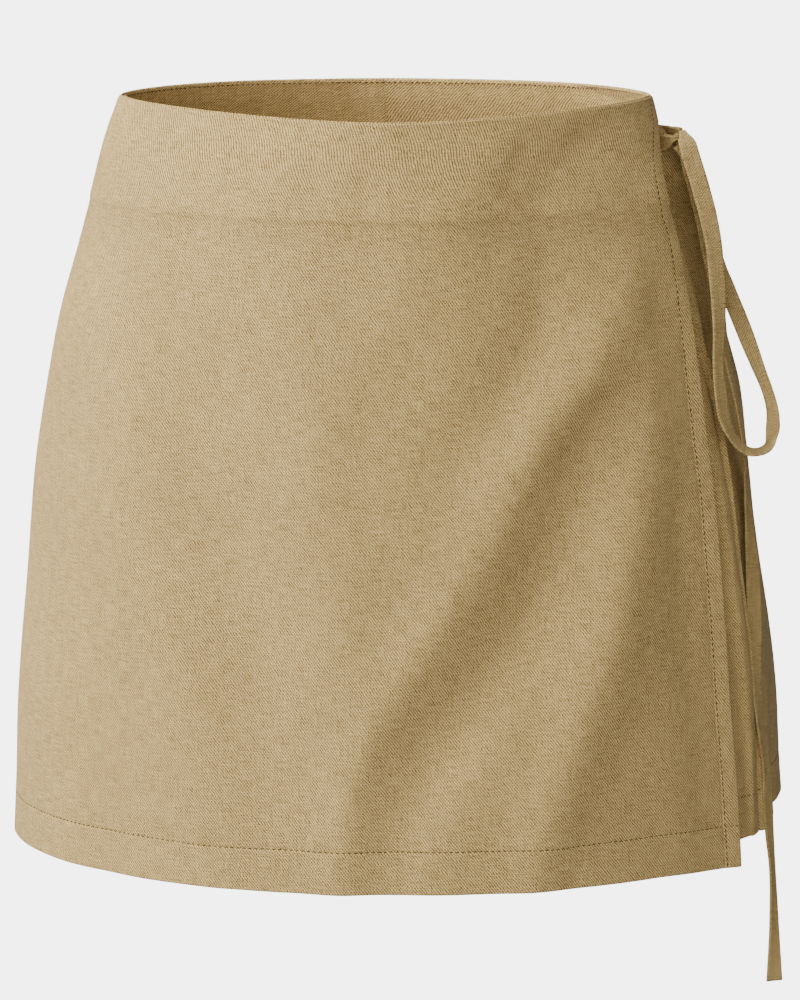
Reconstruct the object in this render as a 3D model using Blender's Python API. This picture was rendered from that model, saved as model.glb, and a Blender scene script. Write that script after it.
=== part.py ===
"""Wrap skort: A-line shorts under a front wrap panel that ties at the wearer's left side.

Metres, +Z up. The origin is the centre of the waist, the front faces -Y and the wearer's left is +X.
Angles run round the body: 0 at the wearer's left, -90 degrees at centre front, 90 at centre back.
"Below" is the depth below the waist.
"""

import bmesh
import bpy
import numpy as np
from mathutils import Vector

# Lengths, in metres -------------------------------------------------------------------------
WRAP_LENGTH = 0.3985
SHORTS_LENGTH = 0.388
FACING_LENGTH = 0.052
CROTCH_START = 0.205  # where the centre seams begin to turn under the body
CROTCH_DEPTH = 0.268
CROTCH_CURVE = 1.7  # how late the centre seams turn under: 1 is straight
CLOTH = 0.0015
FACING_CLOTH = 0.0010
SEAM_GAP = 0.0005  # between the pieces that the centre and inner leg seams join
SEAM_TRIM = 0.0003  # how far short of a seam's line each piece's outer face ends
LAYER_GAP = 0.0010  # between the wrap panel and the shorts at the waist
FACING_GAP = 0.0005
RIM_DIP = 0.003  # how much lower the waist is at centre front and back than at the sides
RIM_DIP_REACH = 0.05
LEAN = 0.018  # how far the form moves to the wearer's left for each metre down
STRAP_WIDTH = 0.010
STRAP_CLOTH = 0.0016

# Angles, in degrees --------------------------------------------------------------------------
LEFT_SEAM = -15.0
RIGHT_SEAM = -182.0
CENTRE = 90.0  # at the back, and at the front with a minus

# Faces of the body, as the sign of y.
FRONT = -1
BACK = 1

# The form's outer outline at depths below the waist. A corner of 2 is an ellipse, and a smaller
# one makes the sides more pointed.
SECTION_COLUMNS = ("below", "half_width", "front", "back", "corner")
SECTIONS = (
    (0.000, 0.1411, 0.0972, 0.0972, 1.60),
    (0.018, 0.1480, 0.1000, 0.1010, 1.68),
    (0.040, 0.1545, 0.1030, 0.1060, 1.78),
    (0.075, 0.1653, 0.1085, 0.1150, 1.90),
    (0.118, 0.1778, 0.1150, 0.1260, 2.00),
    (0.150, 0.1840, 0.1198, 0.1320, 2.02),
    (0.195, 0.1910, 0.1262, 0.1370, 2.04),
    (0.250, 0.1967, 0.1330, 0.1400, 2.04),
    (0.300, 0.2024, 0.1385, 0.1430, 2.03),
    (0.337, 0.2054, 0.1422, 0.1450, 2.02),
    (0.377, 0.2072, 0.1460, 0.1470, 2.00),
    (0.430, 0.2100, 0.1495, 0.1495, 2.00),
)

# How far inside the form the front of the shorts lies under the wrap panel.
UNDER_COLUMNS = ("below", "inset")
UNDER = (
    (0.000, CLOTH + LAYER_GAP),
    (0.060, CLOTH + LAYER_GAP),
    (0.140, 0.0052),
    (0.240, 0.0070),
    (0.400, 0.0070),
)
UNDER_RISE = (-40.0, -19.0)  # where the shorts' front comes out to the form beside the left seam
# The wrap panel's edge covers the left seam near the waist, and the cloth there is tucked in.
TUCK = CLOTH + LAYER_GAP + 0.0006
TUCK_BELOW = 0.115
TUCK_BELOW_FADE = 0.045
TUCK_ANGLE = 6.0
TUCK_ANGLE_FADE = 30.0

# The wrap panel's free edge.
EDGE_COLUMNS = ("below", "angle")
EDGE = (
    (0.000, 0.5),
    (0.012, -2.2),
    (0.022, -5.8),
    (0.038, -8.2),
    (0.059, -10.0),
    (0.080, -13.2),
    (0.102, -16.4),
    (0.128, -18.6),
    (0.163, -20.3),
    (0.200, -21.4),
    (0.250, -22.2),
    (0.300, -22.8),
    (0.400, -23.2),
)
EDGE_STAND = 0.0042  # how far the free edge stands off the form from the hip down
EDGE_STAND_FULL = 0.25
EDGE_STAND_REACH = 17.0
EDGE_DROP = 0.002

# The largest folds of the wrap panel: each runs from one place to another, with a half width and
# a height, which is negative for a trough.
FOLD_COLUMNS = ("below", "angle", "to_below", "to_angle", "width", "height")
FOLDS = (
    (0.085, -34.0, 0.385, -99.0, 0.020, 0.0022),
    (0.130, -31.0, 0.390, -92.0, 0.017, -0.0030),
    (0.140, -28.0, 0.390, -66.0, 0.022, 0.0022),
    (0.120, -152.0, 0.370, -120.0, 0.022, -0.0012),
)
FOLD_TAPER = 0.18  # share of a fold's length over which it fades at each end

# The legs below the crotch.
LEG_CORNER = 0.055  # how far from the centre the front or back starts to turn to the inner leg
LEG_SPREAD = 0.012  # half the space between the legs at the hem
INNER_SEAM_Y = 0.010

# Rows and columns of the cloth's faces.
SHORTS_ROWS = (0, 0.018, 0.04, 0.07, 0.105, 0.14, 0.175, 0.205, 0.225, 0.245, 0.268, 0.30, 0.345, 0.388)
WRAP_ROWS = (0, 0.018, 0.04, 0.07, 0.105, 0.14, 0.175, 0.21, 0.245, 0.285, 0.325, 0.365, 0.3985)
FACING_ROWS = (0.0004, 0.018, 0.04, FACING_LENGTH)
SIDE_ACROSS = 12  # from a side seam to where the leg turns
INNER_ACROSS = 8  # from there to the centre or inner leg seam
WRAP_ACROSS = 48
PATH_POINTS = 140
BEND_POINTS = 24
SHARP_ANGLE = 40.0

# The tie. Each route is chosen by hand: places in metres, and the strap's turn in degrees, where
# 0 shows its face to the front and 90 shows its edge.
ROUTE_COLUMNS = ("x", "y", "z", "turn")
KNOT_CENTRE = (0.1562, -0.0135, -0.0210)
KNOT_RADII = (0.0046, 0.0042, 0.0040)
KNOT_SEGMENTS = 12
KNOT_RINGS = 8
LOOP_ROUTE = (
    (0.1581, -0.0164, -0.0240, 10),
    (0.1616, -0.0198, -0.0325, 8),
    (0.1651, -0.0222, -0.0420, 8),
    (0.1684, -0.0245, -0.0530, 8),
    (0.1710, -0.0275, -0.0650, 10),
    (0.1730, -0.0308, -0.0770, 12),
    (0.1745, -0.0345, -0.0905, 14),
    (0.1748, -0.0385, -0.1050, 17),
    (0.1753, -0.0425, -0.1165, 20),
    (0.1754, -0.0465, -0.1275, 25),
    (0.1753, -0.0505, -0.1372, 38),
    (0.1760, -0.0535, -0.1475, 54),
    (0.1765, -0.0560, -0.1578, 60),
    (0.1779, -0.0575, -0.1683, 62),
    (0.1812, -0.0575, -0.1760, 62),
    (0.1862, -0.0560, -0.1815, 60),
    (0.1915, -0.0525, -0.1840, 60),
    (0.1966, -0.0465, -0.1840, 60),
    (0.2016, -0.0390, -0.1818, 58),
    (0.2050, -0.0320, -0.1770, 54),
    (0.2060, -0.0265, -0.1690, 50),
    (0.2048, -0.0225, -0.1595, 44),
    (0.2031, -0.0200, -0.1497, 38),
    (0.2004, -0.0185, -0.1393, 34),
    (0.1963, -0.0172, -0.1289, 32),
    (0.1922, -0.0163, -0.1187, 30),
    (0.1882, -0.0155, -0.1087, 28),
    (0.1841, -0.0148, -0.0992, 26),
    (0.1812, -0.0140, -0.0900, 22),
    (0.1785, -0.0130, -0.0795, 18),
    (0.1753, -0.0118, -0.0680, 14),
    (0.1710, -0.0103, -0.0535, 12),
    (0.1662, -0.0092, -0.0405, 10),
    (0.1618, -0.0088, -0.0300, 10),
    (0.1594, -0.0094, -0.0249, 10),
)
TAIL_ROUTE = (
    (0.1571, -0.0132, -0.0253, 20),
    (0.1610, -0.0148, -0.0365, 24),
    (0.1662, -0.0165, -0.0530, 26),
    (0.1702, -0.0185, -0.0720, 28),
    (0.1740, -0.0215, -0.0950, 30),
    (0.1764, -0.0270, -0.1110, 34),
    (0.1783, -0.0330, -0.1270, 36),
    (0.1805, -0.0380, -0.1420, 38),
    (0.1832, -0.0395, -0.1570, 40),
    (0.1860, -0.0400, -0.1730, 42),
    (0.1888, -0.0405, -0.1880, 42),
    (0.1906, -0.0440, -0.2090, 40),
    (0.1924, -0.0465, -0.2300, 38),
    (0.1952, -0.0480, -0.2630, 36),
    (0.1968, -0.0515, -0.2840, 36),
    (0.1982, -0.0550, -0.3110, 37),
    (0.2010, -0.0560, -0.3380, 39),
    (0.2050, -0.0545, -0.3680, 42),
    (0.2062, -0.0530, -0.3890, 48),
    (0.2074, -0.0528, -0.4110, 50),
    (0.2086, -0.0525, -0.4420, 44),
    (0.2090, -0.0525, -0.4710, 40),
)
FRONT_END_ROUTE = (
    (0.1462, -0.0092, -0.0236, 0),
    (0.1488, -0.0116, -0.0228, 0),
    (0.1512, -0.0134, -0.0218, 0),
)
BACK_END_ROUTE = (
    (0.1433, 0.0179, -0.0200, 0),
    (0.1490, 0.0097, -0.0194, 0),
    (0.1545, 0.0010, -0.0198, 0),
    (0.1560, -0.0090, -0.0206, 0),
)
STUB_WIDTH = 0.0085
LOOP_STATIONS = 46
TAIL_STATIONS = 34
STUB_STATIONS = 4
ROUTE_STEPS = 16

# Colours -------------------------------------------------------------------------------------
TWILL = (0.515, 0.392, 0.223, 1.0)
TWILL_INSIDE = (0.430, 0.320, 0.180, 1.0)
CLOTH_ROUGHNESS = 0.85


def clear_scene():
    for item in list(bpy.data.objects):
        bpy.data.objects.remove(item, do_unlink=True)


def material(name, colour):
    made = bpy.data.materials.new(name)
    made.use_nodes = True
    shader = made.node_tree.nodes["Principled BSDF"]
    shader.inputs["Base Color"].default_value = colour
    shader.inputs["Roughness"].default_value = CLOTH_ROUGHNESS
    shader.inputs["Metallic"].default_value = 0.0
    return made


# The form --------------------------------------------------------------------------------------
def curve_value(table, columns, name, at):
    """A smooth value from a table's named column, at a depth below the waist."""
    places = np.array([row[columns.index("below")] for row in table])
    values = np.array([row[columns.index(name)] for row in table])
    slopes = np.gradient(values, places)
    at = float(np.clip(at, places[0], places[-1]))
    low = int(np.clip(np.searchsorted(places, at, side="right") - 1, 0, len(places) - 2))
    span = places[low + 1] - places[low]
    t = (at - places[low]) / span
    return float(
        (1 + 2 * t) * (1 - t) ** 2 * values[low]
        + t * (1 - t) ** 2 * span * slopes[low]
        + t * t * (3 - 2 * t) * values[low + 1]
        + t * t * (t - 1) * span * slopes[low + 1]
    )


def smooth_step(value):
    t = np.clip(value, 0.0, 1.0)
    return t * t * (3 - 2 * t)


def outline(angles, below, inset=0.0):
    """Points round the form at one depth. Angles are in degrees, and the inset may vary with them."""
    turn = np.radians(angles)
    corner = curve_value(SECTIONS, SECTION_COLUMNS, "corner", below)
    half_width = curve_value(SECTIONS, SECTION_COLUMNS, "half_width", below) - inset
    front = curve_value(SECTIONS, SECTION_COLUMNS, "front", below) - inset
    back = curve_value(SECTIONS, SECTION_COLUMNS, "back", below) - inset
    depth = np.where(np.sin(turn) < 0, front, back)
    reach = ((np.abs(np.cos(turn)) / half_width) ** corner + (np.abs(np.sin(turn)) / depth) ** corner)
    reach = reach ** (-1 / corner)
    dip = RIM_DIP * np.sin(turn) ** 2 * max(0.0, 1 - below / RIM_DIP_REACH)
    return np.stack([reach * np.cos(turn) + LEAN * below, reach * np.sin(turn), -below - dip], axis=-1)


def tuck(angles, below):
    """How far inside the form the cloth beside the left seam lies where the wrap panel covers it."""
    high = 1 - smooth_step((below - TUCK_BELOW) / TUCK_BELOW_FADE)
    near = 1 - smooth_step((np.asarray(angles) - TUCK_ANGLE) / TUCK_ANGLE_FADE)
    return TUCK * high * near


def under_inset(angles, below):
    """How far inside the form the front of the shorts lies. It comes out to it at the left seam."""
    deep = curve_value(UNDER, UNDER_COLUMNS, "inset", below)
    start, end = UNDER_RISE
    rise = smooth_step((np.asarray(angles) - start) / (end - start))
    return deep + (tuck(angles, below) - deep) * rise


def edge_stand(angles, below):
    """How far the wrap panel stands off the form near its free edge."""
    nearness = 1 - (curve_value(EDGE, EDGE_COLUMNS, "angle", below) - np.asarray(angles)) / EDGE_STAND_REACH
    return EDGE_STAND * smooth_step(below / EDGE_STAND_FULL) * smooth_step(nearness)


def fold_height(angles, below):
    """The height of the wrap panel's folds above the form."""
    radius = curve_value(SECTIONS, SECTION_COLUMNS, "half_width", below)
    total = np.zeros(np.shape(angles))
    for row in FOLDS:
        fold = dict(zip(FOLD_COLUMNS, row))
        drop = fold["to_below"] - fold["below"]
        turn = fold["to_angle"] - fold["angle"]
        along = (below - fold["below"]) / drop
        across = np.radians(np.asarray(angles) - fold["angle"] - turn * along) * radius
        across = across / np.hypot(1.0, np.radians(turn) * radius / drop)
        fade = smooth_step(along / FOLD_TAPER) * smooth_step((1 - along) / FOLD_TAPER)
        total = total + fold["height"] * fade * np.exp(-((across / fold["width"]) ** 2))
    return total


def spaced(path, count):
    """Points evenly spaced along a path."""
    steps = np.linalg.norm(np.diff(path, axis=0), axis=1)
    length = np.concatenate([[0.0], np.cumsum(steps)])
    places = np.linspace(0.0, length[-1], count)
    return np.stack([np.interp(places, length, path[:, axis]) for axis in range(3)], axis=-1)


def trimmed(path, start, end):
    """A path cut short at its two ends."""
    path = path.copy()
    path[0] += start * (path[1] - path[0]) / np.linalg.norm(path[1] - path[0])
    path[-1] += end * (path[-2] - path[-1]) / np.linalg.norm(path[-2] - path[-1])
    return path


def inner_leg(start, inner, face, seam_y):
    """A full leg's turn from the outer form to the inner leg, and its inner leg to the seam."""
    level = start[2]
    reach = abs(start[0] - inner)
    turned = np.array([inner, start[1] - face * reach, level])
    corner = np.array([inner, start[1], level])
    t = np.linspace(0, 1, BEND_POINTS)[:, None]
    bend = (1 - t) ** 2 * start + 2 * t * (1 - t) * corner + t * t * turned
    return np.vstack([bend, [inner, seam_y, level]])


def leg_row(below, face, inset_of, seam_angle):
    """A left leg's outer face at one depth, from the side seam to the centre or inner leg seam.

    Inset_of says how far inside the form it lies.
    From the crotch's start down, the cloth beside the centre turns under until it is the inner leg.
    """
    angles = np.linspace(seam_angle, CENTRE * face, PATH_POINTS)
    ring = outline(angles, below, inset_of(angles, below))
    centre = LEAN * below
    opened = (below - CROTCH_DEPTH) / (SHORTS_LENGTH - CROTCH_DEPTH)
    inner = centre + SEAM_GAP / 2 + LEG_SPREAD * smooth_step(opened)
    side = ring[ring[:, 0] > inner + LEG_CORNER]
    middle = np.vstack([side[-1], ring[ring[:, 0] <= inner + LEG_CORNER]])
    middle[:, 0] = np.maximum(middle[:, 0], inner)
    seam_y = INNER_SEAM_Y + face * SEAM_GAP / 2
    full = spaced(inner_leg(side[-1], inner, face, seam_y), INNER_ACROSS + 1)
    turned = np.clip((below - CROTCH_START) / (CROTCH_DEPTH - CROTCH_START), 0.0, 1.0) ** CROTCH_CURVE
    flat = spaced(middle, INNER_ACROSS + 1)
    row = np.vstack([spaced(side, SIDE_ACROSS + 1)[:-1], flat + (full - flat) * turned])
    return trimmed(row, SEAM_TRIM, 0.0)


def covered_inset(angles, below):
    """The right front leg stays under the wrap panel all the way to its side seam."""
    return curve_value(UNDER, UNDER_COLUMNS, "inset", below) + 0 * angles


def no_inset(angles, below):
    return 0 * angles


def leg_rows(depths, face, inset_of, right=False):
    """Rows on one leg panel, each listed anticlockwise seen from above."""
    seam_angle = -180.0 - RIGHT_SEAM if right else LEFT_SEAM
    rows = []
    for below in depths:
        row = leg_row(below, face, inset_of, seam_angle)
        if right:
            row[:, 0] = 2 * LEAN * below - row[:, 0]
        rows.append(row[::-1] if (face == FRONT) != right else row)
    return rows


def wrap_rows():
    rows = []
    for below in WRAP_ROWS:
        edge = curve_value(EDGE, EDGE_COLUMNS, "angle", below)
        angles = np.linspace(RIGHT_SEAM, edge, PATH_POINTS)
        proud = fold_height(angles, below) + edge_stand(angles, below)
        path = outline(angles, below, -proud)
        nearness = smooth_step(1 - (edge - angles) / EDGE_STAND_REACH)
        path[:, 2] -= EDGE_DROP * nearness * smooth_step(below / WRAP_LENGTH)
        rows.append(trimmed(spaced(path, WRAP_ACROSS + 1), 2 * SEAM_TRIM, 0.0))
    return rows


def facing_rows(face, inset_of, right=False):
    """A facing's rows on one leg panel, just inside the cloth that it lies on."""

    def inside(angles, below):
        return inset_of(angles, below) + CLOTH + FACING_GAP

    return leg_rows(FACING_ROWS, face, inside, right)


# Making solids ---------------------------------------------------------------------------------
def add_object(name, mesh, look):
    mesh.materials.append(look)
    mesh.shade_smooth()
    made = bpy.data.objects.new(name, mesh)
    bpy.context.scene.collection.objects.link(made)
    return made


def grid_mesh(name, rows):
    """A sheet through rows of points, each row with as many points as the others."""
    across = len(rows[0]) - 1
    down = len(rows) - 1
    shape = bmesh.new()
    made = bmesh.ops.create_grid(shape, x_segments=across, y_segments=down, size=1.0)
    for vert in made["verts"]:
        column = round((vert.co.x + 1) / 2 * across)
        row = round((1 - vert.co.y) / 2 * down)
        vert.co = Vector(rows[row][column])
    mesh = bpy.data.meshes.new(name)
    shape.to_mesh(mesh)
    shape.free()
    return mesh


def cloth_piece(name, rows, thickness, look, offset=-1.0):
    """A wall of cloth: its outer face goes through the rows, and its thickness lies inside."""
    made = add_object(name, grid_mesh(name, rows), look)
    wall = made.modifiers.new("Cloth", "SOLIDIFY")
    wall.thickness = thickness
    wall.offset = offset
    wall.use_even_offset = True
    wall.use_quality_normals = True
    wall.use_rim = True
    made.data.set_sharp_from_angle(angle=np.radians(SHARP_ANGLE))
    return made


def smooth_route(route, stations):
    """Evenly spaced places and turns on a smooth curve through a route's points."""
    points = np.array(route, dtype=float)
    padded = np.vstack([2 * points[0] - points[1], points, 2 * points[-1] - points[-2]])
    fine = []
    for i in range(1, len(padded) - 2):
        a, b, c, d = padded[i - 1], padded[i], padded[i + 1], padded[i + 2]
        for t in np.linspace(0, 1, ROUTE_STEPS, endpoint=False):
            bend = (2 * a - 5 * b + 4 * c - d) * t**2 + (3 * b - a - 3 * c + d) * t**3
            fine.append((2 * b + (c - a) * t + bend) / 2)
    fine.append(points[-1])
    fine = np.array(fine)
    length = np.concatenate([[0.0], np.cumsum(np.linalg.norm(np.diff(fine[:, :3], axis=0), axis=1))])
    places = np.linspace(0, length[-1], stations)
    axes = range(len(ROUTE_COLUMNS))
    return np.stack([np.interp(places, length, fine[:, axis]) for axis in axes], axis=-1)


def strap_rows(route, stations, width):
    """Two rows of points, the long edges of a flat strap along a route."""
    line = smooth_route(route, stations)
    tangents = np.gradient(line[:, :3], axis=0)
    tangents /= np.linalg.norm(tangents, axis=1)[:, None]
    sideways = np.cross(tangents, np.array([0.0, 1.0, 0.0]))
    sideways /= np.linalg.norm(sideways, axis=1)[:, None]
    depthways = np.cross(sideways, tangents)
    turn = np.radians(line[:, 3])[:, None]
    spread = (np.cos(turn) * sideways + np.sin(turn) * depthways) * width / 2
    return [line[:, :3] + spread, line[:, :3] - spread]


def strap_piece(name, route, stations, width, look):
    return cloth_piece(name, strap_rows(route, stations, width), STRAP_CLOTH, look, offset=0.0)


def knot_piece(look):
    shape = bmesh.new()
    bmesh.ops.create_uvsphere(shape, u_segments=KNOT_SEGMENTS, v_segments=KNOT_RINGS, radius=1.0)
    bmesh.ops.scale(shape, vec=KNOT_RADII, verts=shape.verts)
    bmesh.ops.translate(shape, vec=KNOT_CENTRE, verts=shape.verts)
    mesh = bpy.data.meshes.new("tie_knot")
    shape.to_mesh(mesh)
    shape.free()
    return add_object("tie_knot", mesh, look)


def make_shorts(look):
    cloth_piece("shorts_front_left", leg_rows(SHORTS_ROWS, FRONT, under_inset), CLOTH, look)
    cloth_piece("shorts_front_right", leg_rows(SHORTS_ROWS, FRONT, covered_inset, right=True), CLOTH, look)
    cloth_piece("shorts_back_left", leg_rows(SHORTS_ROWS, BACK, tuck), CLOTH, look)
    cloth_piece("shorts_back_right", leg_rows(SHORTS_ROWS, BACK, no_inset, right=True), CLOTH, look)


def make_facings(look):
    right_half = facing_rows(FRONT, covered_inset, right=True)
    left_half = facing_rows(FRONT, under_inset)
    front = [np.vstack([one, other[1:]]) for one, other in zip(right_half, left_half)]
    cloth_piece("facing_front", front, FACING_CLOTH, look)
    cloth_piece("facing_back_left", facing_rows(BACK, tuck), FACING_CLOTH, look)
    cloth_piece("facing_back_right", facing_rows(BACK, no_inset, right=True), FACING_CLOTH, look)


def make_tie(look):
    knot_piece(look)
    strap_piece("tie_front_end", FRONT_END_ROUTE, STUB_STATIONS, STUB_WIDTH, look)
    strap_piece("tie_back_end", BACK_END_ROUTE, STUB_STATIONS, STUB_WIDTH, look)
    strap_piece("tie_loop", LOOP_ROUTE, LOOP_STATIONS, STRAP_WIDTH, look)
    strap_piece("tie_tail", TAIL_ROUTE, TAIL_STATIONS, STRAP_WIDTH, look)


def main():
    clear_scene()
    outside = material("twill", TWILL)
    inside = material("twill_facing", TWILL_INSIDE)
    make_shorts(outside)
    cloth_piece("wrap_panel", wrap_rows(), CLOTH, outside)
    make_facings(inside)
    make_tie(outside)


main()
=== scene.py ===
"""Wrap skort: A-line twill shorts under a front wrap panel that ties at the wearer's left side.

Metres, +Z up. The origin is the centre of the waist, the front faces -Y and the wearer's left is +X.
Angles run round the body: 0 at the wearer's left, -90 degrees at centre front, 90 at centre back.
"Below" is the depth below the waist, and "proud" is a height above the worn form.
"""

import bmesh
import bpy
import numpy as np
from mathutils import Matrix, Vector


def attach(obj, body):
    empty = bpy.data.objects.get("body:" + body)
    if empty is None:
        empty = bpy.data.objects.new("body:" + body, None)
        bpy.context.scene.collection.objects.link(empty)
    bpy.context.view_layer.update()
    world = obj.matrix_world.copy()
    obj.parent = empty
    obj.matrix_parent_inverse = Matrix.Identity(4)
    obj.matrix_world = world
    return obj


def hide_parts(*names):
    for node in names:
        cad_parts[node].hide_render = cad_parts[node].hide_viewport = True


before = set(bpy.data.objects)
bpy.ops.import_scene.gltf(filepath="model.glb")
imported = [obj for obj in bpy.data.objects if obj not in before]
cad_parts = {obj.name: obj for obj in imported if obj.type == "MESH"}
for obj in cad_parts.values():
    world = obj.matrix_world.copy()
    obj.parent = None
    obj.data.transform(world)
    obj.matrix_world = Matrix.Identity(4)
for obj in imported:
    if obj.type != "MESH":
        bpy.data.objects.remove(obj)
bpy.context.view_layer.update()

bl_info = {
    "name": "Wrap skort",
    "version": (1, 0, 0),
    "blender": (4, 5, 0),
    "location": "3D View > Sidebar > Skort",
    "description": "Builds a twill wrap skort on its packed frame",
    "category": "Object",
}

# The worn form -------------------------------------------------------------------------------
WRAP_LENGTH = 0.3985
SHORTS_LENGTH = 0.388
FACING_LENGTH = 0.052
CROTCH_START = 0.205
CROTCH_DEPTH = 0.268
CROTCH_CURVE = 1.7
WALL = 0.0015  # the solids' cloth, which the layers below are spaced by
LAYER_GAP = 0.0010
RIM_DIP = 0.003
RIM_DIP_REACH = 0.05
LEAN = 0.018
LEFT_SEAM = -15.0
RIGHT_SEAM = -182.0
CENTRE = 90.0
FRONT = -1
BACK = 1

SECTION_COLUMNS = ("below", "half_width", "front", "back", "corner")
SECTIONS = (
    (0.000, 0.1411, 0.0972, 0.0972, 1.60),
    (0.018, 0.1480, 0.1000, 0.1010, 1.68),
    (0.040, 0.1545, 0.1030, 0.1060, 1.78),
    (0.075, 0.1653, 0.1085, 0.1150, 1.90),
    (0.118, 0.1778, 0.1150, 0.1260, 2.00),
    (0.150, 0.1840, 0.1198, 0.1320, 2.02),
    (0.195, 0.1910, 0.1262, 0.1370, 2.04),
    (0.250, 0.1967, 0.1330, 0.1400, 2.04),
    (0.300, 0.2024, 0.1385, 0.1430, 2.03),
    (0.337, 0.2054, 0.1422, 0.1450, 2.02),
    (0.377, 0.2072, 0.1460, 0.1470, 2.00),
    (0.430, 0.2100, 0.1495, 0.1495, 2.00),
)
UNDER_COLUMNS = ("below", "inset")
UNDER = (
    (0.000, WALL + LAYER_GAP),
    (0.060, WALL + LAYER_GAP),
    (0.140, 0.0052),
    (0.240, 0.0070),
    (0.400, 0.0070),
)
UNDER_RISE = (-40.0, -19.0)
UNDER_CLEAR = 0.0019  # from the wrap's outer face to the face of the cloth under it, at the least
UNDER_BLEND = 0.0010
RIM_STILL = 0.014  # the depth over which folds fade out towards the waist edge
TUCK = WALL + LAYER_GAP + 0.0006
TUCK_BELOW = 0.115
TUCK_BELOW_FADE = 0.045
TUCK_ANGLE = 6.0
TUCK_ANGLE_FADE = 30.0
EDGE_COLUMNS = ("below", "angle")
EDGE = (
    (0.000, 0.5),
    (0.012, -3.9),
    (0.022, -8.8),
    (0.030, -11.9),
    (0.038, -14.1),
    (0.050, -15.7),
    (0.070, -16.1),
    (0.085, -17.2),
    (0.102, -18.3),
    (0.128, -20.0),
    (0.163, -21.4),
    (0.200, -21.6),
    (0.250, -22.0),
    (0.300, -23.1),
    (0.400, -23.7),
)
EDGE_STAND = 0.0022
EDGE_STAND_FULL = 0.25
EDGE_STAND_REACH = 17.0
EDGE_GAPE_COLUMNS = ("below", "stand")
EDGE_GAPE = (
    (0.000, 0.0),
    (0.018, 0.0002),
    (0.040, 0.0034),
    (0.075, 0.0036),
    (0.115, 0.0016),
    (0.160, 0.0),
    (0.400, 0.0),
)
EDGE_GAPE_REACH = 9.0
EDGE_DROP = 0.002
EDGE_LIFT = 0.0034  # how far the band beyond the edge stitching turns out
EDGE_LIFT_START = 0.080
LEG_CORNER = 0.055
LEG_SPREAD = 0.012
INNER_SEAM_Y = 0.010
INNER_GAP = -0.00006  # between panels at the legs' seams, where they overlap so that no light shows

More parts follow.
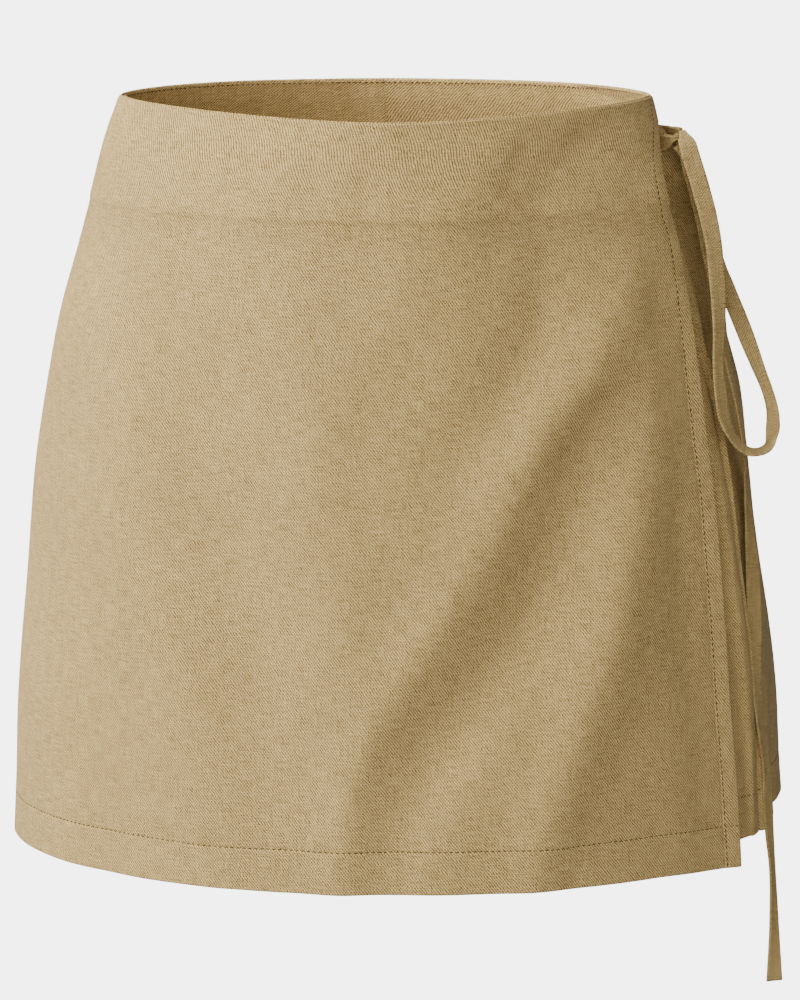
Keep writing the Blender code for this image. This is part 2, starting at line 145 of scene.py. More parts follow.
# Folds: each is a line of (below, angle, share of its height), with its half widths towards the
# wearer's right and left, and its height, which is negative for a trough.
WRAP_FOLDS = (
    (0.019, 0.019, 0.0060, (
        (0.012, -14, 0.2), (0.034, -18, 0.50), (0.070, -26, 0.45), (0.094, -33, 0.78),
        (0.112, -38, 0.98), (0.133, -45, 1.08), (0.174, -58, 0.75), (0.213, -67, 0.58),
        (0.252, -78, 0.58), (0.295, -91, 0.60), (0.336, -99, 0.58), (0.392, -102, 0.42),
    )),
    (0.026, 0.021, -0.0074, (
        (0.140, -37, 0.05), (0.172, -44.5, 0.6), (0.193, -47.5, 0.78), (0.215, -51, 0.88),
        (0.235, -55, 1.0), (0.255, -59, 1.06), (0.275, -65, 1.1), (0.296, -71, 1.0), (0.316, -77, 0.88),
        (0.338, -84, 0.78), (0.356, -87, 0.58), (0.388, -91, 0.25),
    )),
    (0.020, 0.028, 0.0070, (
        (0.115, -31, 0.05), (0.155, -32.5, 0.52), (0.178, -35, 0.64), (0.217, -41, 0.92),
        (0.256, -45, 0.98), (0.297, -50, 1.02), (0.318, -54, 1.02), (0.338, -56, 0.92),
        (0.358, -59, 0.76), (0.392, -63, 0.44),
    )),
    (0.024, 0.018, -0.0048, (
        (0.040, -43, 0.3), (0.069, -48, 0.6), (0.092, -51, 0.92), (0.112, -51.5, 1.0),
        (0.131, -56, 0.95), (0.152, -63, 0.68), (0.176, -71, 0.35), (0.214, -83, 0.0),
    )),
    (0.016, 0.015, -0.0040, (
        (0.000, -22, 0.0), (0.010, -28, 0.6), (0.022, -37, 1.0), (0.036, -44, 0.9), (0.050, -50, 0.3),
        (0.062, -54, 0.0),
    )),
    (0.034, 0.042, -0.0055, (
        (0.070, -150, 0.0), (0.095, -147, 0.46), (0.117, -143, 0.8), (0.145, -136, 0.88),
        (0.177, -131, 0.98), (0.217, -129, 1.18), (0.235, -126, 1.1), (0.257, -123, 0.92),
        (0.300, -119, 0.80), (0.335, -117, 0.5), (0.392, -114, 0.1),
    )),
    (0.030, 0.024, 0.0040, (
        (0.080, -158, 0.1), (0.136, -153, 0.6), (0.176, -148, 0.8), (0.217, -146, 1.0),
        (0.256, -140, 1.05), (0.297, -134, 1.0), (0.338, -131, 0.88), (0.380, -125, 0.4),
    )),
    (0.030, 0.028, 0.0036, (
        (0.090, -113, 0.08), (0.108, -110, 0.28), (0.175, -108, 0.8), (0.200, -107, 1.0),
        (0.225, -104, 0.95), (0.255, -100, 0.78), (0.292, -101, 0.47), (0.320, -102, 0.23),
        (0.350, -103, 0.0),
    )),
    (0.028, 0.020, 0.0024, (
        (0.000, -55, 0.0), (0.014, -61, 0.8), (0.027, -66, 1.0), (0.047, -70, 1.0), (0.067, -75, 0.6),
        (0.108, -88, 0.5), (0.128, -97, 0.3), (0.150, -102, 0.0),
    )),
    (0.014, 0.012, -0.0028, (
        (0.130, -25, 0.0), (0.156, -27, 0.25), (0.177, -28, 0.5), (0.198, -29, 0.85), (0.219, -29, 1.1),
        (0.240, -29, 1.05), (0.260, -29, 0.9), (0.300, -30, 0.8), (0.345, -29.5, 0.8),
        (0.392, -29, 0.6),
    )),
    (0.016, 0.016, -0.0018, (
        (0.000, -100, 0.0), (0.026, -92, 1.0), (0.047, -98, 0.5), (0.080, -100, 0.0),
    )),
    (0.018, 0.018, 0.0020, (
        (0.005, -121, 0.0), (0.028, -120, 1.0), (0.055, -119, 0.2), (0.070, -118, 0.0),
    )),
    (0.020, 0.020, -0.0022, ((0.028, -143, 0.0), (0.051, -141, 1.0), (0.075, -143, 0.0))),
    (0.030, 0.030, -0.0022, (
        (0.040, -176, 0.0), (0.085, -176, 1.0), (0.115, -176, 1.0), (0.155, -176, 0.4),
        (0.200, -176, 0.0),
    )),
    (0.012, 0.012, 0.0010, (
        (0.086, -31, 0.0), (0.100, -31, 0.6), (0.134, -31, 0.8), (0.154, -33, 1.2), (0.174, -35, 0.9),
        (0.194, -39, 0.6), (0.235, -42, 0.7), (0.275, -45, 0.2), (0.290, -46, 0.0),
    )),
    (0.014, 0.014, -0.0009, (
        (0.045, -60, 0.0), (0.068, -61, 1.0), (0.088, -63, 1.0), (0.108, -64, 0.5), (0.125, -66, 0.0),
    )),
    (0.020, 0.020, 0.0008, (
        (0.055, -114, 0.0), (0.070, -115, 1.0), (0.088, -115, 0.9), (0.108, -118, 0.9),
        (0.130, -120, 0.0),
    )),
    (0.012, 0.012, -0.0008, (
        (0.140, -61, 0.0), (0.152, -62, 0.9), (0.172, -64, 0.8), (0.200, -62, 0.4), (0.231, -61, 0.6),
        (0.253, -60, 0.9), (0.274, -60, 1.0), (0.290, -59, 0.0),
    )),
    (0.012, 0.014, -0.0009, (
        (0.330, -50, 0.0), (0.350, -51, 1.0), (0.378, -54, 1.0), (0.396, -56, 0.8),
    )),
    (0.018, 0.018, -0.0014, ((0.330, -150, 0.0), (0.362, -148, 1.0), (0.394, -148, 1.0))),
    (0.007, 0.008, -0.0010, ((0.004, -43, 0.7), (0.023, -51, 1.0), (0.046, -58, 0.2))),
    (0.012, 0.012, 0.0006, ((0.004, -34, 0.8), (0.030, -41, 1.0), (0.048, -47, 0.0))),
)
SIDE_CHANNEL = (
    (0.012, 0.006, -0.0055, (
        (0.016, -9, 0.0), (0.030, -9.5, 0.8), (0.060, -10, 1.0), (0.085, -11.5, 0.8), (0.110, -13, 0.0),
    )),
    (0.0050, 0.0185, -0.0058, (
        (0.016, -3, 0.0), (0.030, -4, 0.5), (0.046, -4.5, 0.8), (0.064, -5, 0.9), (0.080, -5.5, 0.9),
        (0.100, -7.5, 1.0), (0.125, -10, 1.0), (0.160, -11.2, 1.0), (0.388, -11.2, 1.0),
    )),
    (0.0032, 0.0074, -0.0090, (
        (0.018, -5, 0.0), (0.030, -5.5, 0.5), (0.046, -6, 0.8), (0.064, -6.5, 0.8), (0.080, -7.5, 0.8),
        (0.100, -9.5, 0.9), (0.125, -12, 1.0), (0.160, -13, 1.0), (0.300, -13.1, 1.0),
        (0.360, -13.1, 0.9), (0.388, -13, 0.6),
    )),
)
BACK_LEFT_FOLDS = (
    *SIDE_CHANNEL,
    (0.020, 0.034, 0.0110, (
        (0.075, 5, 0.0), (0.125, 6, 0.32), (0.150, 6, 0.34), (0.178, 7, 0.26), (0.200, 7, -0.10),
        (0.222, 7, -0.24), (0.245, 8, 0.06), (0.280, 10, 0.56), (0.310, 11, 0.76), (0.350, 12.5, 0.95),
        (0.388, 12.5, 1.0),
    )),
    (0.022, 0.026, -0.0030, ((0.110, 34, 0.0), (0.180, 36, 0.8), (0.290, 38, 1.0), (0.387, 37, 0.7))),
    (0.024, 0.024, 0.0026, ((0.120, 56, 0.0), (0.200, 55, 0.8), (0.300, 58, 1.0), (0.387, 57, 0.7))),
    (0.024, 0.022, -0.0016, ((0.160, 73, 0.0), (0.240, 75, 1.0), (0.387, 72, 0.6))),
    (0.012, 0.014, -0.0012, ((0.056, 16, 0.3), (0.090, 28, 1.0), (0.150, 45, 0.0))),
    (0.0030, 0.0030, 0.0014, (
        (0.055, -10, 0.0), (0.066, -10, 1.0), (0.085, -10.5, 1.0), (0.105, -12, 0.8), (0.125, -14, 0.4),
        (0.145, -15, 0.0),
    )),
    (0.010, 0.011, 0.0084, (
        (0.016, 1, 0.0), (0.021, 1, 0.6), (0.026, 1, 1.0), (0.044, 1, 0.85), (0.055, 1, 0.6),
        (0.066, 1, 0.3), (0.080, 1, 0.0),
    )),
    (0.010, 0.022, 0.0068, (
        (0.030, 2, 0.0), (0.055, 2, 0.8), (0.080, 1, 1.0), (0.105, -1, 0.75), (0.130, -3, 0.12),
        (0.150, -4, 0.0),
    )),
    (0.016, 0.013, -0.0062, (
        (0.240, -3, 0.0), (0.300, -2, 0.45), (0.345, -1, 0.8), (0.390, -0.5, 1.0),
    )),
)
BACK_RIGHT_FOLDS = (
    (0.024, 0.028, 0.0022, (
        (0.080, 150, 0.0), (0.170, 145, 0.8), (0.280, 148, 1.0), (0.387, 144, 0.7),
    )),
    (0.026, 0.022, -0.0026, (
        (0.090, 134, 0.0), (0.200, 127, 1.0), (0.310, 130, 0.9), (0.387, 128, 0.5),
    )),
    (0.022, 0.026, 0.0016, ((0.170, 110, 0.0), (0.270, 108, 1.0), (0.387, 112, 0.8))),
    (0.014, 0.012, -0.0010, ((0.055, 162, 0.3), (0.090, 151, 1.0), (0.140, 138, 0.0))),
    (0.030, 0.030, -0.0022, (
        (0.040, 184, 0.0), (0.085, 184, 1.0), (0.115, 184, 1.0), (0.155, 184, 0.4), (0.200, 184, 0.0),
    )),
)
FRONT_FOLDS = (
    (0.018, 0.018, 0.0010, ((0.100, -60, 0.0), (0.240, -66, 1.0), (0.387, -62, 1.0))),
    (0.018, 0.018, -0.0010, ((0.120, -120, 0.0), (0.240, -116, 1.0), (0.387, -121, 1.0))),
)
LEFT_FRONT_FOLDS = (
    *FRONT_FOLDS,
    (0.0045, 0.0040, -0.0050, (
        (0.100, -16.9, 0.0), (0.120, -18.2, 0.9), (0.163, -20.1, 1.0), (0.185, -20.3, 0.8),
        (0.215, -20.4, 0.2), (0.240, -20.6, 0.0),
    )),
    (0.0130, 0.0085, 0.0034, (
        (0.185, -18.8, 0.0), (0.205, -18.6, 0.6), (0.240, -18.3, 0.95), (0.260, -18, 1.0),
        (0.300, -17.8, 1.0), (0.340, -18.8, 0.9), (0.380, -19.4, 0.7), (0.394, -19.4, 0.6),
    )),
)
FACING_FOLDS = (
    (0.005, 0.006, 0.0008, ((-0.001, 102, 0.7), (0.020, 99, 1.0), (0.053, 97, 0.4))),
    (0.006, 0.005, -0.0008, ((-0.001, 94, 0.8), (0.022, 92, 1.0), (0.053, 93, 0.5))),
    (0.016, 0.018, -0.0008, ((0.002, 130, 0.0), (0.016, 150, 1.0), (0.026, 168, 0.0))),
)
FOLD_BEND = 0.018  # how far along a fold its corners are rounded
FOLD_BEND_WEIGHTS = (1.0, 3.0, 5.0, 6.0, 5.0, 3.0, 1.0)
FOLD_SLANT_STEP = 0.004  # how much lower a fold's angle is read again for its slant

# Slow unevenness of all the cloth: waves round the body, waves down for each metre, phase, height.
WAVES = (
    (7.0, 4.1, 0.4, 0.00022),
    (11.0, -6.3, 2.1, 0.00018),
    (17.0, 9.7, 4.0, 0.00012),
    (29.0, -14.0, 1.2, 0.00007),
)

# The rolled seam at the wearer's left side, and the groove in front of it.
SEAM_RIDGE_COLUMNS = ("below", "ridge")
SEAM_RIDGE = (
    (0.000, 0.0000),
    (0.045, 0.0001),
    (0.070, 0.0006),
    (0.110, 0.0012),
    (0.170, 0.0018),
    (0.215, 0.0011),
    (0.260, 0.0009),
    (0.315, 0.0010),
    (0.345, 0.0014),
    (0.388, 0.0014),
)
RIDGE_WIDTH = 0.0012
GROOVE_PLACE = 0.0027
GROOVE_WIDTH = 0.0013
GROOVE_SHARE = 1.2

# Folded edges and seams of the cloth.
ROLL = 0.0008  # radius of a folded edge
SEAM_ROLL = 0.0006
NEAR_EDGE = (0.0, 0.0002, 0.0005, 0.0009, 0.0016, 0.0030)  # rows and columns beside an edge
NEAR_SEAM = (
    *NEAR_EDGE[:-1], 0.0023, 0.0030, 0.0037, *(0.0015 * np.arange(3, 11)), 0.017, 0.019, 0.0215, 0.024
)
NEAR_STITCH = (-0.0016, -0.0008, -0.0004, 0.0, 0.0004, 0.0008, 0.0016)
NEAR_FACING_EDGE = (-0.003, -0.001, 0.0, 0.001, 0.0022, 0.0035, 0.0055)
LEAST_ROW_STEP = 0.00015
STITCH_SINK = 0.00022
STITCH_SINK_WIDTH = 0.0006
PUCKER = 0.00016
PUCKER_LENGTH = 0.0105
PUCKER_REACH = 0.0060
PUCKER_CHANGE = 0.4  # how much the puckers grow and shrink along a seam
PUCKER_CHANGE_LENGTH = 5.3  # and over how many of them
FACING_RISE = 0.00055  # how proud the facing's lower edge makes the cloth over it
FACING_STEP = 0.0035
FACING_DIP = 0.35  # how far past the plain form the cloth steps down, as a share of the rise
FACING_RECOVER = 0.026
# Painted shade: a soft dark band in the cloth's colour just below the facing's lower edge, where the cloth
# steps in.
FACING_SHADE_BELOW = 0.0045  # from the facing's lower edge to the middle of the painted shade below it
FACING_SHADE_REACH = 0.0075
RIM_LAP = 0.0013  # from a panel's outer face to the facing's, at the folded waist edge
FACING_LAP = WALL + 0.0005  # the same lower down
FACING_LAP_DEPTH = 0.012
FACING_RIM = 0.0006  # how far the facing comes out to meet the folded waist edge
FACING_THICKNESS = 0.8  # as a share of the other cloth's

# Columns and rows of the meshes.
WRAP_ACROSS = 172
SIDE_ACROSS = 56
INNER_ACROSS = 40
ROW_STEP = 0.0036
CROTCH_ROW_STEP = 0.0020
CROTCH_SEAM_RISE = 0.010  # above and below the crotch's turn, where the seam's relief fades
FACING_ROW_STEP = 0.0030
FACING_ROW_END = FACING_LENGTH - 0.001
PATH_POINTS = 420
BEND_POINTS = 60
WRAP_GRAIN = 0.6  # where across the wrap its grain runs straight down, as a share of its width

# A stitch: half its length where one with its space is 1, and its thickness out of the cloth where the
# thread's width is 1.
STITCH_HALF = 0.36
STITCH_FLATNESS = 0.8
STITCH_SINK_SHARE = 0.3  # how far the stitch follows the cloth that it pulls in
STITCH_SIDES = 6
STITCH_RINGS = 5
SEWN_ENDS = 2  # columns and rows without stitches at each end of a panel's stitching
WRAP_HEM_START = 4  # the same at the side seam's end of the wrap's hem

# The tie: places, and the strap's turn in degrees, where 0 shows its face to the front.
LOOP_ROUTE = (
    (0.1565, -0.0142, -0.0176, 26),
    (0.1590, -0.0195, -0.0230, 28),
    (0.1606, -0.0220, -0.0285, 28),
    (0.1628, -0.0240, -0.0356, 27),
    (0.1651, -0.0258, -0.0428, 27),
    (0.1674, -0.0275, -0.0511, 27),
    (0.1698, -0.0295, -0.0598, 30),
    (0.1724, -0.0330, -0.0726, 34),
    (0.1737, -0.0365, -0.0838, 36),
    (0.1748, -0.0425, -0.0982, 38),
    (0.1751, -0.0475, -0.1118, 44),
    (0.1750, -0.0500, -0.1199, 46),
    (0.1746, -0.0545, -0.1361, 50),
    (0.1764, -0.0570, -0.1538, 50),
    (0.1780, -0.0575, -0.1628, 54),
    (0.1809, -0.0575, -0.1708, 68),
    (0.1851, -0.0565, -0.1770, 69),
    (0.1903, -0.0545, -0.1811, 74),
    (0.1958, -0.0515, -0.1824, 80),
    (0.2004, -0.0475, -0.1815, 76),
    (0.2036, -0.0430, -0.1783, 68),
    (0.2049, -0.0375, -0.1718, 28),
    (0.2048, -0.0320, -0.1631, 20),
    (0.2021, -0.0275, -0.1532, 10),
    (0.1978, -0.0240, -0.1425, 0),
    (0.1936, -0.0205, -0.1318, -14),
    (0.1896, -0.0165, -0.1217, -28),
    (0.1866, -0.0120, -0.1144, -34),
    (0.1838, -0.0085, -0.1079, -36),
    (0.1813, -0.0055, -0.1014, -40),
    (0.1785, -0.0035, -0.0942, -46),
    (0.1761, -0.0025, -0.0863, -52),
    (0.1736, -0.0025, -0.0788, -55),
    (0.1688, -0.0050, -0.0607, -54),
    (0.1662, -0.0065, -0.0514, -50),
    (0.1639, -0.0075, -0.0427, -48),
    (0.1614, -0.0085, -0.0346, -45),
    (0.1587, -0.0095, -0.0280, -38),
    (0.1562, -0.0108, -0.0236, -25),
)
TAIL_ROUTE = (
    (0.1564, -0.0118, -0.0245, 35),
    (0.1605, -0.0116, -0.0370, 45),
    (0.1646, -0.0115, -0.0512, 45),
    (0.1687, -0.0130, -0.0670, 42),
    (0.1718, -0.0160, -0.0828, 40),
    (0.1744, -0.0210, -0.0951, 46),
    (0.1765, -0.0270, -0.1109, 56),
    (0.1785, -0.0330, -0.1259, 66),
    (0.1809, -0.0370, -0.1381, 74),
    (0.1841, -0.0388, -0.1517, 78),
    (0.1871, -0.0400, -0.1665, 80),
    (0.1896, -0.0385, -0.1797, 78),
    (0.1911, -0.0335, -0.1914, 78),
    (0.1923, -0.0290, -0.2118, 72),
    (0.1934, -0.0290, -0.2248, 66),
    (0.1945, -0.0320, -0.2377, 54),
    (0.1955, -0.0365, -0.2547, 44),
    (0.1959, -0.0410, -0.2690, 42),
    (0.1963, -0.0450, -0.2823, 46),
    (0.1968, -0.0500, -0.2996, 56),
    (0.1978, -0.0520, -0.3166, 64),
    (0.1999, -0.0510, -0.3349, 70),
    (0.2032, -0.0480, -0.3548, 64),
    (0.2041, -0.0470, -0.3726, 60),
    (0.2052, -0.0475, -0.3901, 62),
    (0.2070, -0.0495, -0.4117, 68),
    (0.2081, -0.0510, -0.4406, 48),
    (0.2086, -0.0520, -0.4712, 20),
)
FRONT_END_ROUTE = (
    (0.1430, -0.0046, -0.0250, 0),
    (0.1458, -0.0078, -0.0244, 0),
    (0.1488, -0.0104, -0.0231, 0),
    (0.1516, -0.0122, -0.0218, 0),
    (0.1550, -0.0132, -0.0206, 0),
)
BACK_END_ROUTE = (
    (0.1434, 0.0179, -0.0231, 0),
    (0.1479, 0.0097, -0.0221, 0),
    (0.1520, 0.0010, -0.0205, 0),
    (0.1548, -0.0060, -0.0189, 0),
    (0.1566, -0.0115, -0.0182, 0),
)
ROUTE_STEPS = 16  # between two points of a route, before the strap's own even steps
STRAP_STEP = 0.0016
FRONT_END_STEP = 0.0008
BACK_END_STEP = 0.001

# Where a strap is drawn in: the distance along it, the reach, and the share of its width that is left.
FRONT_END_PINCHES = ((0.0152, 0.0058, 0.15),)
BACK_END_PINCHES = ((0.036, 0.016, 0.42),)
LOOP_PINCHES = ((0.0, 0.0050, 0.35), (0.122, 0.022, 0.82), (0.228, 0.030, 0.58))
TAIL_PINCHES = ((0.0, 0.009, 0.4), (0.425, 0.040, 0.72))
PINCH_FULLNESS = 0.45  # how much of the width that a pinch takes goes into the thickness

# The strap's section, where 1 is half its width across and half its thickness through.
STRAP_POINTS = 20
STRAP_EDGE_POWER = 0.45
STRAP_FACE_POWER = 0.55
STRAP_FACE = 0.74
STRAP_PIPING = 0.30  # how much fuller it is over the seam allowances along both edges
STRAP_PIPING_PLACE = 0.80
STRAP_PIPING_WIDTH = 0.16
STRAP_END_INSET = 0.00025
STRAP_END_DEPTH = 0.0002
MERGE_DISTANCE = 1e-6

KNOT_CENTRE = (0.1548, -0.0060, -0.0232)
KNOT_RADIUS = 0.0034
KNOT_SHAPE = (1.0, 0.85, 1.15)
KNOT_SIDES = 32
KNOT_RINGS = 20

# The twill, across and down the cloth. Fineness is in patches to the millimetre.
MILLIMETRES = 1000.0  # in a metre
DRIFT_FINENESS = 0.35
DRIFT = 0.9  # how many wales they wander by
CROSS_WALE = 0.35  # the wales that cross the others, as a share of their height
PATCH_FINENESS = 0.55
PATCH_LEAST = 0.15
PATCH_RANGE = 1.1
YARN_FINENESS = 1.3
WEFT_FINENESS = (0.10, 1.6)
WARP_FINENESS = (1.6, 0.08)
WEFT_SHARE = 1.1
WARP_SHARE = 0.8
YARN_SHARE = 0.9
HEIGHT_SHARES = (0.5, 0.5)  # of the wales, and of the yarns' unevenness
SHADE_SHARES = (0.68, 0.80)
SHADE_MIDDLE = 0.53
BROAD_TONE = (22.0, 16.0, 0.16)  # patches to the metre across and down, and their range of tone
SMALL_TONE = (150.0, 110.0, 0.14)
BUMP = {"Strength": 0.6, "Distance": 0.00016}
CLOTH_FINISH = {
    "Roughness": 0.86, "Specular IOR Level": 0.18, "Sheen Weight": 0.06, "Sheen Roughness": 0.45,
}
THREAD_FINISH = {"Roughness": 0.85, "Specular IOR Level": 0.1}
THREAD_TWIST = {"Scale": 2600.0, "Detail": 1.0}
THREAD_SHADE = 0.75  # painted shade between the thread's twists: the brightness of its darker noise patches
FACING_EDGE_SHADE = 0.11  # how much darker the painted shade below the facing's edge is
# Painted light: the inside cloth is made brighter than the outside, standing in for light that falls in
# through the waist.
INSIDE_PAINTED_LIGHT = 1.15
STRAP_BRIGHTNESS = 0.94
STRAP_CONTRAST = 0.55

# The stage.
FLOOR_HALF_WIDTH = 40.0
FLOOR_SQUARES = 4
FLOOR_GREY = 0.16
FLOOR_ROUGHNESS = 0.9
LIGHT_PLACE = (-1.91, -0.51, 1.98)
LIGHT_AIM = (0, 0, -0.2)
LIGHT_SIZE = 1.5
LIGHT_COLOUR = (1.0, 0.98, 0.92)
SKY_LEAST = 0.05
CAMERA_PLACE = (0.0077, -2.94, 0.3625)
CAMERA_TILT = 78.82
CAMERA_LENS = 200.9
CAMERA_SENSOR = 36.0
CAMERA_RANGE = (0.05, 200.0)


# Settings --------------------------------------------------------------------------------------
class SkortCloth(bpy.types.PropertyGroup):
    colour: bpy.props.FloatVectorProperty(
        name="Cloth", description="Colour of the cloth", subtype="COLOR", size=3, min=0, max=1,
        default=(0.765, 0.535, 0.215),
    )
    # Painted shade: the twill's small shadows between its raised wales, laid as a dark colour mixed with
    # the yarns' own tone.
    shade: bpy.props.FloatVectorProperty(
        name="Between wales", description="Colour between the weave's raised lines", subtype="COLOR",
        size=3, min=0, max=1, default=(0.160, 0.098, 0.028),
    )
    # Partly the thread's own colour and partly painted shade: it is darker to stand for the shaded pits
    # between stitches.
    thread: bpy.props.FloatVectorProperty(
        name="Thread", description="Colour of the sewing thread", subtype="COLOR", size=3, min=0, max=1,
        default=(0.085, 0.050, 0.018),
    )
    thickness: bpy.props.FloatProperty(
        name="Thickness", description="Thickness of one layer of cloth", unit="LENGTH", default=0.0008,
        min=0.0003, max=0.0015, precision=4,
    )
    wales_across: bpy.props.FloatProperty(
        name="Wales across", description="Raised lines of the weave for each millimetre across",
        default=0.664, min=0.1, max=3,
    )
    wales_down: bpy.props.FloatProperty(
        name="Wales down", description="Raised lines of the weave for each millimetre down",
        default=0.531, min=0.1, max=3,
    )


class SkortSewing(bpy.types.PropertyGroup):
    hem: bpy.props.FloatProperty(
        name="Hem", description="Depth of the turned hems", unit="LENGTH", default=0.0225, min=0.01,
        max=0.04, precision=4,
    )
    stitch: bpy.props.FloatProperty(
        name="Stitch", description="Length of one stitch with the space after it", unit="LENGTH",
        default=0.0031, min=0.002, max=0.005, precision=4,
    )
    thread: bpy.props.FloatProperty(
        name="Thread", description="Width of the thread", unit="LENGTH", default=0.0007, min=0.0002,
        max=0.001, precision=4,
    )
    edge: bpy.props.FloatProperty(
        name="Edge stitching", description="Distance of the wrap's stitching from its free edge, at the "
        "waist", unit="LENGTH", default=0.0088, min=0.003, max=0.012, precision=4,
    )
    edge_low: bpy.props.FloatProperty(
        name="Edge stitching, hem", description="The same distance at the hem", unit="LENGTH",
        default=0.0091, min=0.003, max=0.012, precision=4,
    )
    rim: bpy.props.FloatProperty(
        name="Waist stitching", description="Distance of the facing's stitching from the waist edge",
        unit="LENGTH", default=0.0018, min=0.001, max=0.006, precision=4,
    )


class SkortTie(bpy.types.PropertyGroup):
    width: bpy.props.FloatProperty(
        name="Strap width", description="Width of the flat strap", unit="LENGTH", default=0.0108,
        min=0.006, max=0.016, precision=4,
    )
    thickness: bpy.props.FloatProperty(
        name="Strap thickness", description="Thickness of the strap", unit="LENGTH", default=0.0015,
        min=0.001, max=0.003, precision=4,
    )


class SkortStage(bpy.types.PropertyGroup):
    floor: bpy.props.FloatProperty(
        name="Floor", description="Height of the floor under the waist", unit="LENGTH", default=-1.02,
        min=-2, max=-0.5,
    )
    key: bpy.props.FloatProperty(
        name="Main light", description="Power of the main light", unit="POWER", default=92, min=0,
        max=2000,
    )
    sky: bpy.props.FloatProperty(
        name="Surroundings", description="Brightness of the surroundings, level and half way round",
        default=1.67, min=0, max=5,
    )
    sky_side: bpy.props.FloatProperty(
        name="Brighter on the wearer's right", description="How much brighter the surroundings are on "
        "the wearer's right, and darker on the left", default=1.76, min=0, max=5,
    )
    sky_front: bpy.props.FloatProperty(
        name="Brighter in front", description="How much brighter the surroundings are in front of the "
        "skort, and darker behind", default=0.98, min=0, max=5,
    )
    sky_above: bpy.props.FloatProperty(
        name="Brighter above", description="How much brighter the surroundings are above, or less than 0 "
        "for darker", default=-1.35, min=-5, max=5,
    )
    backdrop: bpy.props.FloatProperty(
        name="Backdrop", description="Brightness of the floor as seen by the camera", default=5, min=0,
        max=20,
    )


# The form --------------------------------------------------------------------------------------
def curve_value(table, columns, name, at):
    """A smooth value from a table's named column, at a depth below the waist."""
    places = np.array([row[columns.index("below")] for row in table])
    values = np.array([row[columns.index(name)] for row in table])
    slopes = np.gradient(values, places)
    at = float(np.clip(at, places[0], places[-1]))
    low = int(np.clip(np.searchsorted(places, at, side="right") - 1, 0, len(places) - 2))
    span = places[low + 1] - places[low]
    t = (at - places[low]) / span
    return float(
        (1 + 2 * t) * (1 - t) ** 2 * values[low]
        + t * (1 - t) ** 2 * span * slopes[low]
        + t * t * (3 - 2 * t) * values[low + 1]
        + t * t * (t - 1) * span * slopes[low + 1]
    )


def smooth_step(value):
    """0 up to 0 and 1 from 1 on, with a smooth change between."""
    t = np.clip(value, 0.0, 1.0)
    return t * t * (3 - 2 * t)


def outline(angles, below, inset):
    """Points round the form at one depth. Angles are in degrees, and the inset may vary with them."""
    turn = np.radians(angles)
    corner = curve_value(SECTIONS, SECTION_COLUMNS, "corner", below)
    half_width = curve_value(SECTIONS, SECTION_COLUMNS, "half_width", below) - inset
    front = curve_value(SECTIONS, SECTION_COLUMNS, "front", below) - inset
    back = curve_value(SECTIONS, SECTION_COLUMNS, "back", below) - inset
    depth = np.where(np.sin(turn) < 0, front, back)
    reach = (np.abs(np.cos(turn)) / half_width) ** corner + (np.abs(np.sin(turn)) / depth) ** corner
    reach = reach ** (-1 / corner)
    dip = RIM_DIP * np.sin(turn) ** 2 * max(0.0, 1 - below / RIM_DIP_REACH)
    return np.stack([reach * np.cos(turn) + LEAN * below, reach * np.sin(turn), -below - dip], axis=-1)


def tuck(angles, below):
    """How far inside the form the cloth beside the left seam lies where the wrap covers it."""
    high = 1 - smooth_step((below - TUCK_BELOW) / TUCK_BELOW_FADE)
    near = 1 - smooth_step((angles - TUCK_ANGLE) / TUCK_ANGLE_FADE)
    return TUCK * high * near


def along_fold(line, at):
    """A fold's angle and share of its height at a depth, its corners rounded."""
    places = [place for place, _, _ in line]
    steps = at + FOLD_BEND * np.linspace(-1.0, 1.0, len(FOLD_BEND_WEIGHTS))
    weights = np.array(FOLD_BEND_WEIGHTS)
    weights /= np.sum(weights)
    angle = np.sum(weights * np.interp(steps, places, [turn for _, turn, _ in line]))
    share = np.sum(weights * np.interp(steps, places, [part for _, _, part in line]))
    return float(angle), float(share)


def fold_height(folds, angles, below):
    """The height of folds above the cloth's plain form."""
    radius = curve_value(SECTIONS, SECTION_COLUMNS, "half_width", below)
    total = np.zeros(np.shape(angles))
    for right, left, height, line in folds:
        if not line[0][0] <= below <= line[-1][0] + FOLD_BEND:
            continue
        centre, share = along_fold(line, below)
        lower = along_fold(line, below + FOLD_SLANT_STEP)[0]
        slant = np.radians(lower - centre) * radius / FOLD_SLANT_STEP
        across = np.radians(angles - centre) * radius / np.hypot(1.0, slant)
        width = np.where(across < 0, right, left)
        total = total + height * share * np.exp(-((across / width) ** 2))
    return total


def unevenness(angles, below):
    """The cloth's slow unevenness, which fades out at the waist edge."""
    total = np.zeros(np.shape(angles))
    for round_body, down, phase, height in WAVES:
        total = total + height * np.sin(np.radians(angles) * round_body + 2 * np.pi * down * below + phase)
    return total * smooth_step(below / FACING_LENGTH)


def facing_rise(below):
    """How proud the cloth is over the waist facing, with a soft step at the facing's lower edge."""
    over = smooth_step(below / FACING_LENGTH) * FACING_RISE
    drop = smooth_step((below - FACING_LENGTH) / FACING_STEP) * FACING_RISE * (1 + FACING_DIP)
    recover = smooth_step((below - FACING_LENGTH) / FACING_RECOVER) * FACING_RISE * FACING_DIP
    return over - drop + recover


def edge_stand(angles, below):
    """How far the wrap stands off the form near its free edge."""
    from_edge = curve_value(EDGE, EDGE_COLUMNS, "angle", below) - angles
    gape = curve_value(EDGE_GAPE, EDGE_GAPE_COLUMNS, "stand", below)
    gape = gape * smooth_step(1 - from_edge / EDGE_GAPE_REACH)
    stand = EDGE_STAND * smooth_step(below / EDGE_STAND_FULL)
    return gape + stand * smooth_step(1 - from_edge / EDGE_STAND_REACH)


